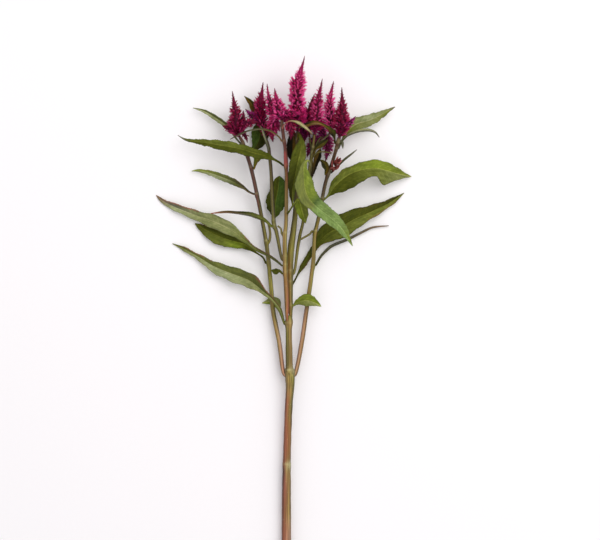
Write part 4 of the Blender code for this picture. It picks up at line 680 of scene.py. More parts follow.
def all_stalks():
    """Every stalk's places by name, each branch from its start beside the stalk that carries it."""
    stalks = {}
    for name, spec in STALKS.items():
        if "on" in spec:
            start = beside(stalks[spec["on"]], spec["at"], spec["aim"], spec["radius"] + GAP)
            places = [(*place, spec["radius"])[:4] for place in spec["places"]]
            stalks[name] = [(*start, spec["radius"])] + places
        else:
            stalks[name] = list(spec["places"])
    return stalks


def add_sheet(name, along, across):
    """A flat sheet of faces along X and across Y, from -1 to 1 each way, to be shaped by a formula."""
    deselect()
    bpy.ops.mesh.primitive_grid_add(x_subdivisions=along, y_subdivisions=across, size=2)
    obj = bpy.context.object
    obj.name = name
    obj.data.name = name
    return obj


def shape_sheet(obj, last, formula, attributes):
    """Puts each vertex where the formula says, and keeps what else it returns as attributes.

    The formula is given the number of the vertex's row and how far across the sheet it is.
    """
    layers = [obj.data.attributes.new(key, kind, "POINT") for key, kind in attributes]
    for vert in obj.data.vertices:
        i = round((vert.co.x + 1) / 2 * last)
        place, *values = formula(i, vert.co.y)
        vert.co = place * MM
        for layer, value in zip(layers, values):
            item = layer.data[vert.index]
            if layer.data_type == "FLOAT_COLOR":
                item.color = (*value, 1.0)
            else:
                item.vector = value


def path_frame(rows, i):
    """The centre of a path at its i-th row, with the directions to its right and up."""
    along = Vector(rows[min(i + 1, len(rows) - 1)][:3]) - Vector(rows[max(i - 1, 0)][:3])
    along.normalize()
    side = along.cross(UP).normalized()
    return Vector(rows[i][:3]), side, side.cross(along)


def finish_piece(piece, node):
    """Hangs a piece under the root body and hides the solid that it replaces."""
    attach(piece, "root")
    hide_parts(node)


def join_as(name, pieces):
    """One piece of several, under its own name."""
    pick(*pieces)
    bpy.ops.object.join()
    obj = bpy.context.object
    obj.name = name
    obj.data.name = name
    return obj


def apply_thickness(obj, thickness, **options):
    """Gives a sheet its thickness, half to each side, and a smooth shade."""
    pick(obj)
    skin = obj.modifiers.new("thickness", "SOLIDIFY")
    skin.thickness = thickness
    skin.offset = 0.0
    for key, value in options.items():
        setattr(skin, key, value)
    bpy.ops.object.modifier_apply(modifier=skin.name)
    bpy.ops.object.shade_smooth()


def close_tube(obj):
    """Joins a rolled sheet's two long edges and closes its ends."""
    edit_all(obj)
    bpy.ops.mesh.remove_doubles(threshold=0.002 * MM)
    bpy.ops.mesh.select_all(action="SELECT")
    bpy.ops.mesh.fill_holes(sides=0)
    bpy.ops.mesh.select_all(action="SELECT")
    bpy.ops.mesh.normals_make_consistent(inside=False)
    bpy.ops.object.mode_set(mode="OBJECT")
    bpy.ops.object.shade_smooth_by_angle(angle=math.radians(50))


def colour_along(stops, settings, at, rightness):
    """The colour at a place along a stalk or a leaf, on its left or right side."""
    at = min(max(at, stops[0][0]), stops[-1][0])
    for low, high in zip(stops, stops[1:]):
        if low[0] <= at <= high[0]:
            share = (at - low[0]) / (high[0] - low[0])
            left = mix(getattr(settings, low[1]), getattr(settings, high[1]), share)
            right = mix(getattr(settings, low[-1]), getattr(settings, high[-1]), share)
            return mix(left, right, rightness)


def growths_on(name):
    """Where leaves and branches leave a stalk: y, aim, and how large its swelling there is."""
    found = [(spec["at"], spec["aim"], LEAF_SWELLING) for spec in LEAVES.values() if spec["on"] == name]
    for spec in STALKS.values():
        if spec.get("on") == name:
            found.append((spec["at"], spec["aim"], spec["radius"] * BRANCH_SWELLING))
    return found + [(y, aim, SCAR_SWELLING) for stalk, y, aim in SCARS if stalk == name]


def rooted(rows, name, stalks):
    """A stalk's places, carried down into the stalk that it grows from, or the stem's, past its top."""
    spec = STALKS[name]
    if name == "main_stem":
        x, y, z, radius = rows[-1]
        return rows + [(x, y + 2.0, z + 0.2, radius * 0.8), (x, y + 3.2, z + 0.3, 0.8)]
    start = Vector(rows[0][:3])
    if "on" not in spec:
        centre, radius = place_on(stalks["main_stem"], 0)
        return [(*(centre + (start - centre).normalized() * radius * 0.2), 1.7)] + rows
    width = spec["radius"]
    centre, radius = place_on(stalks[spec["on"]], spec["at"] - 3 * width)
    root = centre + (start - centre).normalized() * radius * 0.25
    return [(*root, width * 1.05), (*start, width * 1.15)] + rows[1:]


def add_stalk(name, stalks, settings, materials):
    """A rolled sheet round the stalk's path, with ridges and with nodes where leaves leave."""
    spacing = settings.ring_spacing / MM
    rows = smooth_path(rooted(stalks[name], name, stalks), spacing)
    widest = max(row[3] for row in rows)
    around = 16 + 4 * round(widest * 1.5)
    ridges = 5 + round(widest * 1.5)
    growths = growths_on(name)
    stops = STALKS[name].get("colours", SIDE_STALK_COLOURS)
    node_width = settings.node_width / MM
    patches = [patch[1:] for patch in PALE_PATCHES if patch[0] == name]

    def place(i, sideways):
        centre, side, up = path_frame(rows, i)
        turn = math.pi * sideways
        outwards = side * math.sin(turn) + up * math.cos(turn)
        radius = rows[i][3]

        def facing(aim):
            return math.cos(turn - math.pi / 2 + math.radians(aim)) - 1

        # The swellings where leaves and branches leave, and the rims of their scars
        swell = 0.0
        scar = 0.0
        for y, aim, size in growths:
            far = (centre.y - y) / node_width
            swell += RING_SWELL * size * math.exp(-far ** 2)
            swell += SIDE_SWELL * size * math.exp(-(far + 0.25) ** 2 * 1.6) * math.exp(2.5 * facing(aim))
            scar += SCAR_RIM * size * math.exp(-((far - 0.5) * 4) ** 2)
        # The ridges and the roughness of the skin
        ridge = settings.ridge_depth / MM * min(1.0, radius / RIDGED_FROM)
        groove = ridge * math.cos(ridges * turn + centre.y * 0.012)
        rough = noise.noise(Vector((outwards.x * 2, centre.y * 0.12, outwards.z * 2))) * radius * 0.05
        at = centre + outwards * (radius + swell + scar + groove + rough)
        # The colours, paler at scars and patches, with a painted highlight on the crest and painted shade
        # on the flanks
        wander = 0.5 * noise.noise(Vector((7, centre.y * 0.04, 3)))
        tint = colour_along(stops, settings, centre.y, ramp(math.sin(turn) + wander, -0.7, 0.8))
        tint = mix(tint, settings.pith, min(1.0, scar * 5) * 0.55)
        for y, aim, length in patches:
            patch = math.exp(-((centre.y - y) / length) ** 2) * math.exp(3 * facing(aim))
            tint = mix(tint, settings.pith, min(0.9, patch * (1 + rough)))
        # Painted light: the crest lighter and the flanks darker, as if lit from above
        painted_light = PAINTED_CREST_LIGHT - PAINTED_FLANK_SHADE * ramp(abs(math.sin(turn)), 0.35, 1.0)
        tint = tuple(value * painted_light for value in tint)
        skin = Vector((math.sin(turn) * radius, i * spacing, math.cos(turn) * radius))
        return at, tint, skin

    obj = add_sheet(name + "_skin", len(rows) - 1, around)
    shape_sheet(obj, len(rows) - 1, place, [("tint", "FLOAT_COLOR"), ("skin", "FLOAT_VECTOR")])
    close_tube(obj)
    obj.data.materials.append(materials["stalk"])
    if name == "main_stem":
        obj.data.materials.append(materials["cut"])
        cut_end(obj)
    finish_piece(obj, name)


def cut_end(obj):
    """Insets the cut face of the stem, so that bark, wood ring and pith show on it."""
    pick(obj)
    lowest = min(vert.co.y for vert in obj.data.vertices)
    face = next(face for face in obj.data.polygons
                if abs(face.center.y - lowest) < 0.3 * MM and face.normal.y < -0.9)
    for item in obj.data.polygons:
        item.select = item.index == face.index
    bpy.ops.object.mode_set(mode="EDIT")
    bpy.ops.mesh.select_mode(type="FACE")
    for inset, depth in CUT_RINGS:
        bpy.ops.mesh.inset(thickness=inset * MM, depth=-depth * MM)
    bpy.ops.object.mode_set(mode="OBJECT")
    x, _, z, radius = STALKS["main_stem"]["places"][0]
    for item in obj.data.polygons:
        centre = item.center
        inner = (Vector((centre.x, centre.z)) - Vector((x, z)) * MM).length
        if centre.y < lowest + 0.6 * MM and inner < (radius - BARK_WIDTH) * MM:
            item.material_index = 1


def leaf_rows(spec, stalks, spacing):
    """The leaf's stations, from inside the stalk to its tip, and how many lie inside it."""
    root = beside(stalks[spec["on"]], spec["at"], spec["aim"], GAP + 0.8)
    inside = beside(stalks[spec["on"]], spec["at"], spec["aim"], -1.2)
    stations = [(*station, station[3])[:5] for station in spec["stations"]]
    steps = max(1, round((root - inside).length / spacing))
    stub = []
    for k in range(steps):
        half = 1.25 - 0.35 * k / steps
        stub.append([*inside.lerp(root, k / steps), half, half])
    return stub + smooth_path([(*root, PETIOLE, PETIOLE)] + stations, spacing, 12), steps


def add_leaf(name, number, stalks, settings, materials):
    """A blade on its petiole: a sheet laid along the midrib and given its thickness."""
    spec = {**PLAIN_LEAF, **LEAVES[name]}
    rows, first = leaf_rows(spec, stalks, settings.row_spacing / MM)
    last = len(rows) - 1
    spacing = path_length(rows) / last
    widest = max(max(row[3:5]) for row in rows)
    columns = 2 * max(5, math.ceil(widest / (settings.column_spacing / MM)))
    thin = settings.blade_thickness / MM
    thick = settings.rib_thickness / MM
    rib = settings.rib_width / MM
    vein_step = min(settings.vein_spacing / MM, max(2.5, widest * 0.75))
    notch = DEEP_NOTCH if spec["serrated"] else NOTCH
    lag = number * 1.3
    weights = []

    def place(i, sideways):
        side = 0 if sideways > 0 else 1
        near = abs(sideways)
        share = max(0.0, (i - first) / (last - first))
        distance = i * spacing
        half = rows[i][3 + side]
        # How broad the blade is, how much of the petiole it has taken over, and how strong its midrib is
        broad = min(1.0, half / BROAD)
        blade = min(1.0, max(0.0, (half - PETIOLE) / BLADE_MORE))
        taper = min(1.0, (1 - share) / RIB_FADES)
        # How far out, with the waves and the notches of the edge
        ripple = spec["wave"] * broad * near ** 2
        edge = noise.noise(Vector((distance * 0.55, number * 5.0 + (0 if side else 3), 0.5)))
        out = near * half + ripple / 2 * math.cos(share * OUTLINE_WAVES * math.tau + lag)
        out += near ** 6 * blade * notch * (edge + 0.4 * math.sin(distance * 2.4 + edge * 4))
        # How high, with the fold, the waves, and the bulges between the side veins
        lift = near * half * math.tan(math.radians(spec["fold"][side])) * (0.6 + 0.4 * near)
        lift += ripple * math.sin(share * HEIGHT_WAVES * math.tau + lag + (0 if side else 1.7))
        phase = (distance - out * VEIN_SLANT + (0 if side else vein_step / 2)) / vein_step
        bulge = abs(math.sin(math.pi * phase)) ** 0.7 * (1 - near ** 4) * ramp(out, rib, rib * 4)
        lift += settings.vein_relief / MM * broad * bulge * min(1.0, vein_step / 5)
        lift += 0.5 * broad * noise.noise(Vector((distance * 0.09, sideways * 1.6, number * 3.1))) * near
        # How thick, with a midrib that stands out below, and round at the petiole
        midrib = math.exp(-(out / rib) ** 2)
        ridge = (thick * 0.8 - thin) * midrib * taper * blade
        lift -= (ridge / 2 + RIB_GROOVE * broad * midrib * taper) * blade
        petiole = thick * math.sqrt(max(0.03, 1 - near ** 2)) * min(1.0, 0.25 + (1 - share) / 0.2)
        depth = (thin * (1 - 0.55 * near ** 3) + ridge) * blade + petiole * (1 - blade)
        weights.append(min(1.0, depth / thick))
        # The colours, with the edge reddened here and there
        tint = colour_along(spec["colours"], settings, share, ramp(-sideways * half, -0.5, 0.5))
        broken = ramp(edge + math.sin(share * 9), -0.4, 0.6)
        reddening = spec["red_edges"][side] * ramp(near, 0.6, 0.9) * broken
        across = -out if side else out
        leftwards = UP.cross(Vector(rows[min(i + 1, last)][:3]) - Vector(rows[max(i - 1, 0)][:3]))
        at = Vector(rows[i][:3]) + leftwards.normalized() * across + UP * lift
        return at, mix(tint, settings.edge, reddening * blade), Vector((distance, across, near))

    obj = add_sheet(name + "_blade", last, columns)
    shape_sheet(obj, last, place, [("tint", "FLOAT_COLOR"), ("blade", "FLOAT_VECTOR")])
    group = obj.vertex_groups.new(name="thickness")
    for index, weight in enumerate(weights):
        group.add([index], weight, "REPLACE")
    kind = "leaf_grey" if spec["grey"] else "leaf"
    obj.data.materials.append(materials[kind + "_upper"])
    obj.data.materials.append(materials[kind + "_under"])
    apply_thickness(obj, settings.rib_thickness, vertex_group=group.name, material_offset=1)
    finish_piece(obj, name)


def model_tepal(settings, flare, length_share):
    """One pointed tepal: a three-sided ring extruded up to a point, with its keel on the outside."""
    length = settings.length * length_share
    width = settings.width
    deselect()
    bpy.ops.mesh.primitive_circle_add(
        vertices=3, radius=0.3 * width, fill_type="NGON", rotation=(0, 0, math.pi / 3))
    obj = bpy.context.object
    bpy.ops.object.transform_apply(rotation=True)
    edit_all(obj)
    height = 0.0
    for step, wide in TEPAL_RINGS:
        height += step * length
        bpy.ops.mesh.extrude_region_move(TRANSFORM_OT_translate={"value": (0, 0, step * length)})
        bpy.ops.transform.resize(value=(wide, wide, 1), center_override=(0, 0, height))
    bpy.ops.mesh.merge(type="CENTER")
    bpy.ops.object.mode_set(mode="OBJECT")
    layer = obj.data.attributes.new("petal", "FLOAT_VECTOR", "POINT")
    flatter = settings.thickness / width
    for vert in obj.data.vertices:
        share = vert.co.z / length
        layer.data[vert.index].vector = (share, 0.0, 0.0)
        vert.co.y = vert.co.y * flatter - 0.25 * width - flare * share ** 1.5 * length
    return obj


def model_floret(name, settings, flares, length_share):
    """Five tepals round one axis, the outer three longer than the inner two."""
    tepals = []
    for k in range(5):
        outer = k % 2 == 0
        length = length_share * (1.0 if outer else 0.88)
        tepal = model_tepal(settings, flares[0] if outer else flares[1], length)
        tepal.rotation_euler = (0, 0, k * math.tau / 5)
        tepals.append(tepal)
    pick(*tepals)
    bpy.ops.object.transform_apply(rotation=True)
    obj = join_as(name, tepals)
    edit_all(obj)
    bpy.ops.mesh.normals_make_consistent(inside=False)
    bpy.ops.object.mode_set(mode="OBJECT")
    bpy.ops.object.shade_smooth()
    return obj


def towards(direction):
    """The turn that brings Z to a direction."""
    return direction.to_track_quat("Z", "Y").to_matrix().to_4x4()


def floret_pose(here, ahead, half, turn, lean, size, length, spin):
    """Where a floret stands: its tips reach half out from the axis, and it leans to the spike's tip."""
    along = (ahead - here).normalized()
    level = along.cross(UP).normalized()
    outwards = Matrix.Rotation(turn, 3, along) @ level
    direction = outwards * math.cos(lean) + along * math.sin(lean)
    base = here + outwards * half - direction * length * size
    turned = towards(direction) @ Matrix.Rotation(spin, 4, "Z")
    return Matrix.Translation(base * MM) @ turned @ Matrix.Scale(size, 4)


def copy_floret(floret, pose, values):
    """A copy with its own mesh, at its place, that keeps its tone and its share of the spike."""
    mesh = floret.data.copy()
    mesh.transform(pose)
    for item in mesh.attributes["petal"].data:
        item.vector = (item.vector[0], *values)
    obj = bpy.data.objects.new("floret", mesh)
    bpy.context.scene.collection.objects.link(obj)
    return obj


def add_core(places, name):
    """The stalk inside a spike, a rolled sheet under the florets."""
    rows = smooth_path(places, 1.5)
    last = len(rows) - 1

    def place(i, sideways):
        centre, side, up = path_frame(rows, i)
        turn = math.pi * sideways
        radius = max(THINNEST_CORE, rows[i][3] * CORE_SHARE)
        return centre + (side * math.sin(turn) + up * math.cos(turn)) * radius, Vector((0, 0.4, i / last))

    obj = add_sheet(name, last, 12)
    shape_sheet(obj, last, place, [("petal", "FLOAT_VECTOR")])
    close_tube(obj)
    return obj


def spiral(path, spacing):
    """Indices along a path that give each floret the same area of the spike."""
    areas = [0.0]
    for one, two in zip(path, path[1:]):
        step = (Vector(two[:3]) - Vector(one[:3])).length
        areas.append(areas[-1] + step * math.tau * max(one[3], 1.9))
    count = round(areas[-1] / spacing ** 2)
    i = 0
    for k in range(count):
        wanted = areas[-1] * (k + 0.5) / count
        while areas[i + 1] < wanted:
            i += 1
        yield k, i


def florets_on(places, florets, settings, shades, draw):
    """Florets in a spiral up one axis: open ones below, buds towards the tip."""
    path = smooth_path(places, 0.4)
    last = len(path) - 1
    made = []
    length = settings.length / MM
    for k, i in spiral(path, settings.spacing / MM):
        share = i / last
        loose = LOOSE * ramp(share, 0.45, 0.8) * ramp(share, 1.0, 0.92)
        half = path[i][3] * draw.uniform(0.8, 1.2) + loose
        size = max(0.4, min(1.0, half / FULL_SIZE_FROM)) * draw.uniform(0.85, 1.1)
        # In degrees: florets droop at the foot of a spike, stand out along it and close up at its tip
        droop = 30 * max(0.0, 1 - share / 0.16)
        lean = math.radians(20 + 16 * share + 18 * share ** 6 - droop + draw.uniform(-13, 13))
        turn = k * GOLDEN_ANGLE + draw.uniform(-0.35, 0.35)
        stage = share + draw.uniform(-0.15, 0.15)
        kind = florets[0] if stage < OPEN_UP_TO else florets[1] if stage < CLOSING_UP_TO else florets[2]
        ahead = Vector(path[min(i + 1, last)][:3])
        here = Vector(path[min(i, last - 1)][:3])
        pose = floret_pose(here, ahead, half, turn, lean, size, length, draw.uniform(0, math.tau))
        # Each floret's random tone, plus its spike's shade and the painted shade at the spike's foot
        tone = draw.random() + shades[0] + shades[1] * ramp(share, 0.42, 0.2)
        made.append(copy_floret(kind, pose, (min(1.0, max(0.0, tone)), share)))
    end = Vector(path[last][:3])
    along = (end - Vector(path[last - 4][:3])).normalized()
    pose = Matrix.Translation((end - along * length * 0.42) * MM) @ towards(along) @ Matrix.Scale(0.45, 4)
    made.append(copy_floret(florets[2], pose, (0.8, 1.0)))
    return made


def seated(places, stalk):
    """The axis with its first places on the end of the stalk, in line with it."""
    end = Vector(stalk[-1][:3])
    along = (end - Vector(stalk[-2][:3])).normalized()
    half = stalk[-1][3] / 0.66
    near = end + along * GAP
    return [(*near, half), (*(near + along * 1.6), half * 1.3)] + places


def add_spike(name, number, stalks, florets, settings, materials):
    """A core under florets for each axis, joined into one piece."""
    spec = {**PLAIN_SPIKE, **SPIKES[name]}
    draw = random.Random(number + 11)
    shades = (spec["shade"], spec["painted_foot_shade"])
    pieces = []
    for k, axis in enumerate(spec["axes"]):
        places = axis if k else seated(axis, stalks[spec["on"]])
        lobe = [add_core(places, name + "_florets")]
        lobe.extend(florets_on(places, florets, settings, shades, draw))
        colour = materials[spec["lobe_colours"].get(k, spec["colour"])]
        for piece in lobe:
            piece.data.materials.append(colour)
        pieces.extend(lobe)
    obj = join_as(name + "_florets", pieces)
    finish_piece(obj, name)
    return obj


def rest_on_floor(obj):
    """Presses up to the floor what would reach through it."""
    lowest = 0.15 * MM
    for vert in obj.data.vertices:
        if vert.co.z < lowest:
            vert.co.z = lowest + (vert.co.z - lowest) * 0.02


def model_leaflet(length):
    """A narrow folded leaflet that curves outwards."""
    leaflet = add_sheet("leaflet", 14, 6)
    layer = leaflet.data.attributes.new("petal", "FLOAT_VECTOR", "POINT")
    for vert in leaflet.data.vertices:
        share = (vert.co.x + 1) / 2
        half = 2.5 * math.sin(math.pi * share ** 0.75) ** 0.9 + 0.12
        across = vert.co.y
        vert.co = Vector((across * half, 0.6 * abs(across) * half + 1.8 * share ** 2, share * length)) * MM
        layer.data[vert.index].vector = (share, 0.0, 0.0)
    return leaflet


def add_shoot(materials):
    """The young shoot: a rosette of narrow folded leaflets round a short stalk."""
    base, tip = (Vector(place) for place in YOUNG_SHOOT)
    upright = towards((tip - base).normalized())
    draw = random.Random(5)
    leaflet = model_leaflet(9.5)
    pieces = []
    for k in range(LEAFLETS):
        # Each leaflet starts a little further up, leans out less and is smaller than the last
        lean = math.radians(32 - 3 * k)
        spread = Matrix.Rotation(k * GOLDEN_ANGLE, 4, "Z") @ Matrix.Rotation(-lean, 4, "X")
        start = Matrix.Translation(base.lerp(tip, 0.075 * k) * MM)
        pose = start @ upright @ spread @ Matrix.Scale(1.0 - 0.04 * k, 4)
        pieces.append(copy_floret(leaflet, pose, (draw.random(), k / LEAFLETS)))
    bpy.data.objects.remove(leaflet, do_unlink=True)
    obj = join_as("young_shoot_leaflets", pieces)
    obj.data.materials.append(materials["shoot"])
    apply_thickness(obj, 0.28 * MM)
    finish_piece(obj, "young_shoot")


class Nodes:
    """The nodes of one material or node group, with a short way to add each kind."""

    def __init__(self, tree):
        self.tree = tree

    def feed(self, socket, value):
        """Links a socket to the one given, or sets it to the value given."""
        if isinstance(value, bpy.types.NodeSocket):
            self.tree.links.new(value, socket)
        else:
            socket.default_value = value

    def wire(self, node, **inputs):
        """Feeds the inputs of a node by their names, with _ for each space."""
        for key, value in inputs.items():
            self.feed(node.inputs[key.replace("_", " ")], value)

    def add(self, kind, settings=None, **inputs):
        """A new node with its settings and its inputs."""
        node = self.tree.nodes.new("ShaderNode" + kind)
        for key, value in (settings or {}).items():
            setattr(node, key, value)
        self.wire(node, **inputs)
        return node

    def calc(self, operation, *values):
        """The result of one sum."""
        node = self.add("Math", {"operation": operation})
        for socket, value in zip(node.inputs, values):
            self.feed(socket, value)
        return node.outputs[0]

    def times(self, one, two):
        return self.calc("MULTIPLY", one, two)

    def plus(self, one, two):
        return self.calc("ADD", one, two)

    def minus(self, one, two):
        return self.calc("SUBTRACT", one, two)

    def smooth(self, value, low, high):
        """0 at low and 1 at high, with a smooth step between."""
        settings = {"interpolation_type": "SMOOTHSTEP"}
        return self.add("MapRange", settings, Value=value, From_Min=low, From_Max=high).outputs[0]

    def blend(self, share, one, two, kind="MIX"):
        """Two colours mixed by share."""
        node = self.add("Mix", {"data_type": "RGBA", "blend_type": kind})
        for index, value in ((0, share), (6, one), (7, two)):
            if isinstance(value, (tuple, list)) or hasattr(value, "r"):
                value = (*value[:3], 1.0)
            self.feed(node.inputs[index], value)
        return node.outputs[2]

    def tinted(self, mask, amount, colour, by):
        """A colour multiplied by another where the mask is, as far as the amount says."""
        return self.blend(self.times(mask, amount), colour, by, "MULTIPLY")

    def scaled(self, vector, *factors):
        node = self.add("VectorMath", {"operation": "MULTIPLY"})
        self.feed(node.inputs[0], vector)
        node.inputs[1].default_value = factors
        return node.outputs[0]

    def grain(self, vector, scale, detail):
        """Soft noise from 0 to 1."""
        return self.add("TexNoise", Vector=vector, Scale=scale, Detail=detail).outputs["Fac"]

    def parts(self, vector):
        """The three numbers of a vector."""
        return self.add("SeparateXYZ", Vector=vector).outputs

    def place(self):
        """The place on the piece, in metres."""
        return self.add("TexCoord").outputs["Object"]

    def attribute(self, name, output):
        settings = {"attribute_name": name, "attribute_type": "GEOMETRY"}
        return self.add("Attribute", settings).outputs[output]

    def bump(self, height, distance, strength=1.0):
        return self.add("Bump", Height=height, Distance=distance, Strength=strength).outputs["Normal"]

    def group(self, name, **inputs):
        """The outputs of one of the shared effects."""
        return self.add("Group", {"node_tree": bpy.data.node_groups[name]}, **inputs).outputs


def new_group(name, inputs, outputs):
    """A node group with these inputs and outputs, its inputs' sockets and its end node.

    An input without a default takes a vector, and all the others are numbers.
    """
    tree = bpy.data.node_groups.new(name, "ShaderNodeTree")
    for label, default in inputs.items():
        kind = "Vector" if default is None else "Float"
        socket = tree.interface.new_socket(label, in_out="INPUT", socket_type="NodeSocket" + kind)
        if default is not None:
            socket.default_value = default
    for label in outputs:
        tree.interface.new_socket(label, in_out="OUTPUT", socket_type="NodeSocketFloat")
    return Nodes(tree), tree.nodes.new("NodeGroupInput").outputs, tree.nodes.new("NodeGroupOutput")


def mottle_group():
    """Soft light and dark patches with a fine grain over them."""
    nodes, given, end = new_group(
        "mottle", {"Vector": None, "Patch": 0.1, "Grain": 1.0}, ("Patches", "Height"))
    patches = nodes.grain(given["Vector"], given["Patch"], 3.0)
    fine = nodes.grain(given["Vector"], given["Grain"], 2.0)
    nodes.wire(end, Patches=nodes.smooth(patches, 0.32, 0.68), Height=fine)


def vein_group():
    """The veins of a blade, from its distances along and across in millimetres."""
    nodes, given, end = new_group(
        "veins", {"Blade": None, "Spacing": 5.0, "Rib": 0.6}, ("Midrib", "Side Veins", "Net", "Height"))
    spacing = given["Spacing"]
    along, across, near = nodes.parts(given["Blade"])
    out = nodes.calc("ABSOLUTE", across)
    midrib = nodes.smooth(out, given["Rib"], nodes.times(given["Rib"], 0.35))
    other_side = nodes.times(nodes.calc("GREATER_THAN", across, 0.0), nodes.times(spacing, 0.5))
    bend = nodes.times(nodes.minus(nodes.grain(given["Blade"], 0.35, 1.0), 0.5), 2.2)
    slant = nodes.plus(nodes.times(out, -VEIN_SLANT), nodes.plus(other_side, bend))
    phase = nodes.calc("DIVIDE", nodes.plus(along, slant), spacing)
    close = nodes.calc("ABSOLUTE", nodes.minus(nodes.calc("FRACT", phase), 0.5))
    line = nodes.smooth(nodes.times(nodes.minus(0.5, close), spacing), 0.8, 0.15)
    side = nodes.times(line, nodes.smooth(near, 0.98, 0.6))
    cells = nodes.add("TexVoronoi", {"feature": "DISTANCE_TO_EDGE"}, Vector=given["Blade"], Scale=0.9)
    net = nodes.smooth(cells.outputs["Distance"], 0.09, 0.02)
    low = nodes.plus(nodes.plus(nodes.times(side, 0.6), nodes.times(net, 0.25)), nodes.times(midrib, 0.6))
    nodes.wire(end, Midrib=midrib, Side_Veins=side, Net=net, Height=nodes.minus(1.0, low))


def streak_group():
    """Lengthwise fibres of a stalk, from its unrolled places in millimetres."""
    nodes, given, end = new_group(
        "streaks", {"Skin": None, "Fineness": 1.0}, ("Streaks", "Fibres", "Specks", "Height"))
    skin = given["Skin"]
    streaks = nodes.grain(nodes.scaled(skin, 0.8, 0.018, 0.8), given["Fineness"], 4.0)
    fibres = nodes.grain(nodes.scaled(skin, 1.8, 0.03, 1.8), given["Fineness"], 3.0)
    dots = nodes.add("TexVoronoi", Vector=nodes.scaled(skin, 0.55, 0.22, 0.55), Scale=1.0)
    specks = nodes.smooth(dots.outputs["Distance"], 0.16, 0.06)
    height = nodes.plus(nodes.times(fibres, 0.7), nodes.times(specks, 0.3))
    nodes.wire(end, Streaks=nodes.smooth(streaks, 0.35, 0.65), Fibres=nodes.smooth(fibres, 0.3, 0.7),
               Specks=specks, Height=height)


def new_material(name, roughness=0.5, **constants):
    """A material with its shader, whose constants go straight on its sockets."""
    material = bpy.data.materials.new(name)
    material.use_nodes = True
    nodes = Nodes(material.node_tree)
    shader = material.node_tree.nodes["Principled BSDF"]
    nodes.wire(shader, Roughness=roughness, **constants)
    return material, nodes, shader


def leaf_material(name, settings, under, greyness):
    """A leaf's upper or under side: veins, mottling, painted highlights along its folds and a soft sheen.
    """
    material, nodes, shader = new_material(
        name, Specular_IOR_Level=0.08 + 0.2 * greyness, Sheen_Weight=0.12 * greyness)
    place = nodes.attribute("blade", "Vector")
    midrib, side, net, height = nodes.group(
        "veins", Blade=place, Spacing=settings.vein_spacing / MM, Rib=settings.rib_width / MM)[:4]
    patches, fine = nodes.group("mottle", Vector=place, Patch=0.13, Grain=2.2)[:2]
    blotches = nodes.group("mottle", Vector=place, Patch=0.42, Grain=2.2)[0]
    painted_fold_highlights = nodes.group("mottle", Vector=nodes.scaled(place, 0.05, 0.42, 0.0), Patch=1.0, Grain=2.0)[0]
    colour = nodes.attribute("tint", "Color")
    if under:
        colour = nodes.blend(0.6, colour, settings.underside)
    # Darker patches and blotches, painted highlights along the folds, paler veins and midrib, and a darker
    # rim
    for mask, amount, by in (
            (patches, 0.55, (0.6, 0.66, 0.5)),
            (painted_fold_highlights, 0.75, (1.6, 1.55, 1.8)),
            (blotches, 0.5, (0.7, 0.72, 0.62)),
            (net, 0.3, (1.3, 1.25, 1.35)),
            (side, 0.7, (1.35, 1.3, 1.45)),
            (midrib, 0.7, (2.0, 1.8, 2.4)),
            (nodes.smooth(nodes.parts(place)[2], 0.88, 0.98), 0.6, (0.45, 0.4, 0.5))):
        colour = nodes.tinted(mask, amount, colour, by)
    roughness = nodes.plus(nodes.times(fine, 0.14), (0.56 if under else 0.42) + 0.08 * greyness)
    relief = nodes.plus(height, nodes.times(fine, 0.25))
    nodes.wire(shader, Base_Color=colour, Roughness=roughness, Normal=nodes.bump(relief, 0.35 * MM, 0.7))
    return material


def stalk_material(settings):
    """Stalk skin: fibres and streaks along it, with a few pale specks."""
    material, nodes, shader = new_material("stalk_skin", Specular_IOR_Level=0.45)
    streaks, fibres, specks, height = nodes.group("streaks", Skin=nodes.attribute("skin", "Vector"))[:4]
    browned = nodes.tinted(streaks, 0.8, nodes.attribute("tint", "Color"), (0.5, 0.4, 0.3))
    darker = nodes.blend(1.0, browned, (0.66, 0.6, 0.52), "MULTIPLY")
    lighter = nodes.blend(1.0, browned, (1.36, 1.3, 1.22), "MULTIPLY")
    dotted = nodes.blend(nodes.times(specks, 0.4), nodes.blend(fibres, darker, lighter), settings.pith)
    roughness = nodes.plus(nodes.times(fibres, 0.18), 0.38)
    nodes.wire(shader, Base_Color=dotted, Roughness=roughness, Normal=nodes.bump(height, 0.25 * MM, 0.8))
    return material


def cut_material(settings):
    """The cut end: a pale pith inside a wood ring, with fine rays."""
    material, nodes, shader = new_material("cut_end", 0.75)
    fine = nodes.grain(nodes.place(), 1800.0, 3.0)
    colour = nodes.blend(nodes.smooth(fine, 0.35, 0.7), settings.pith, settings.straw)
    roughness = nodes.plus(nodes.times(fine, 0.2), 0.62)
    nodes.wire(shader, Base_Color=colour, Roughness=roughness, Normal=nodes.bump(fine, 0.2 * MM))
    return material


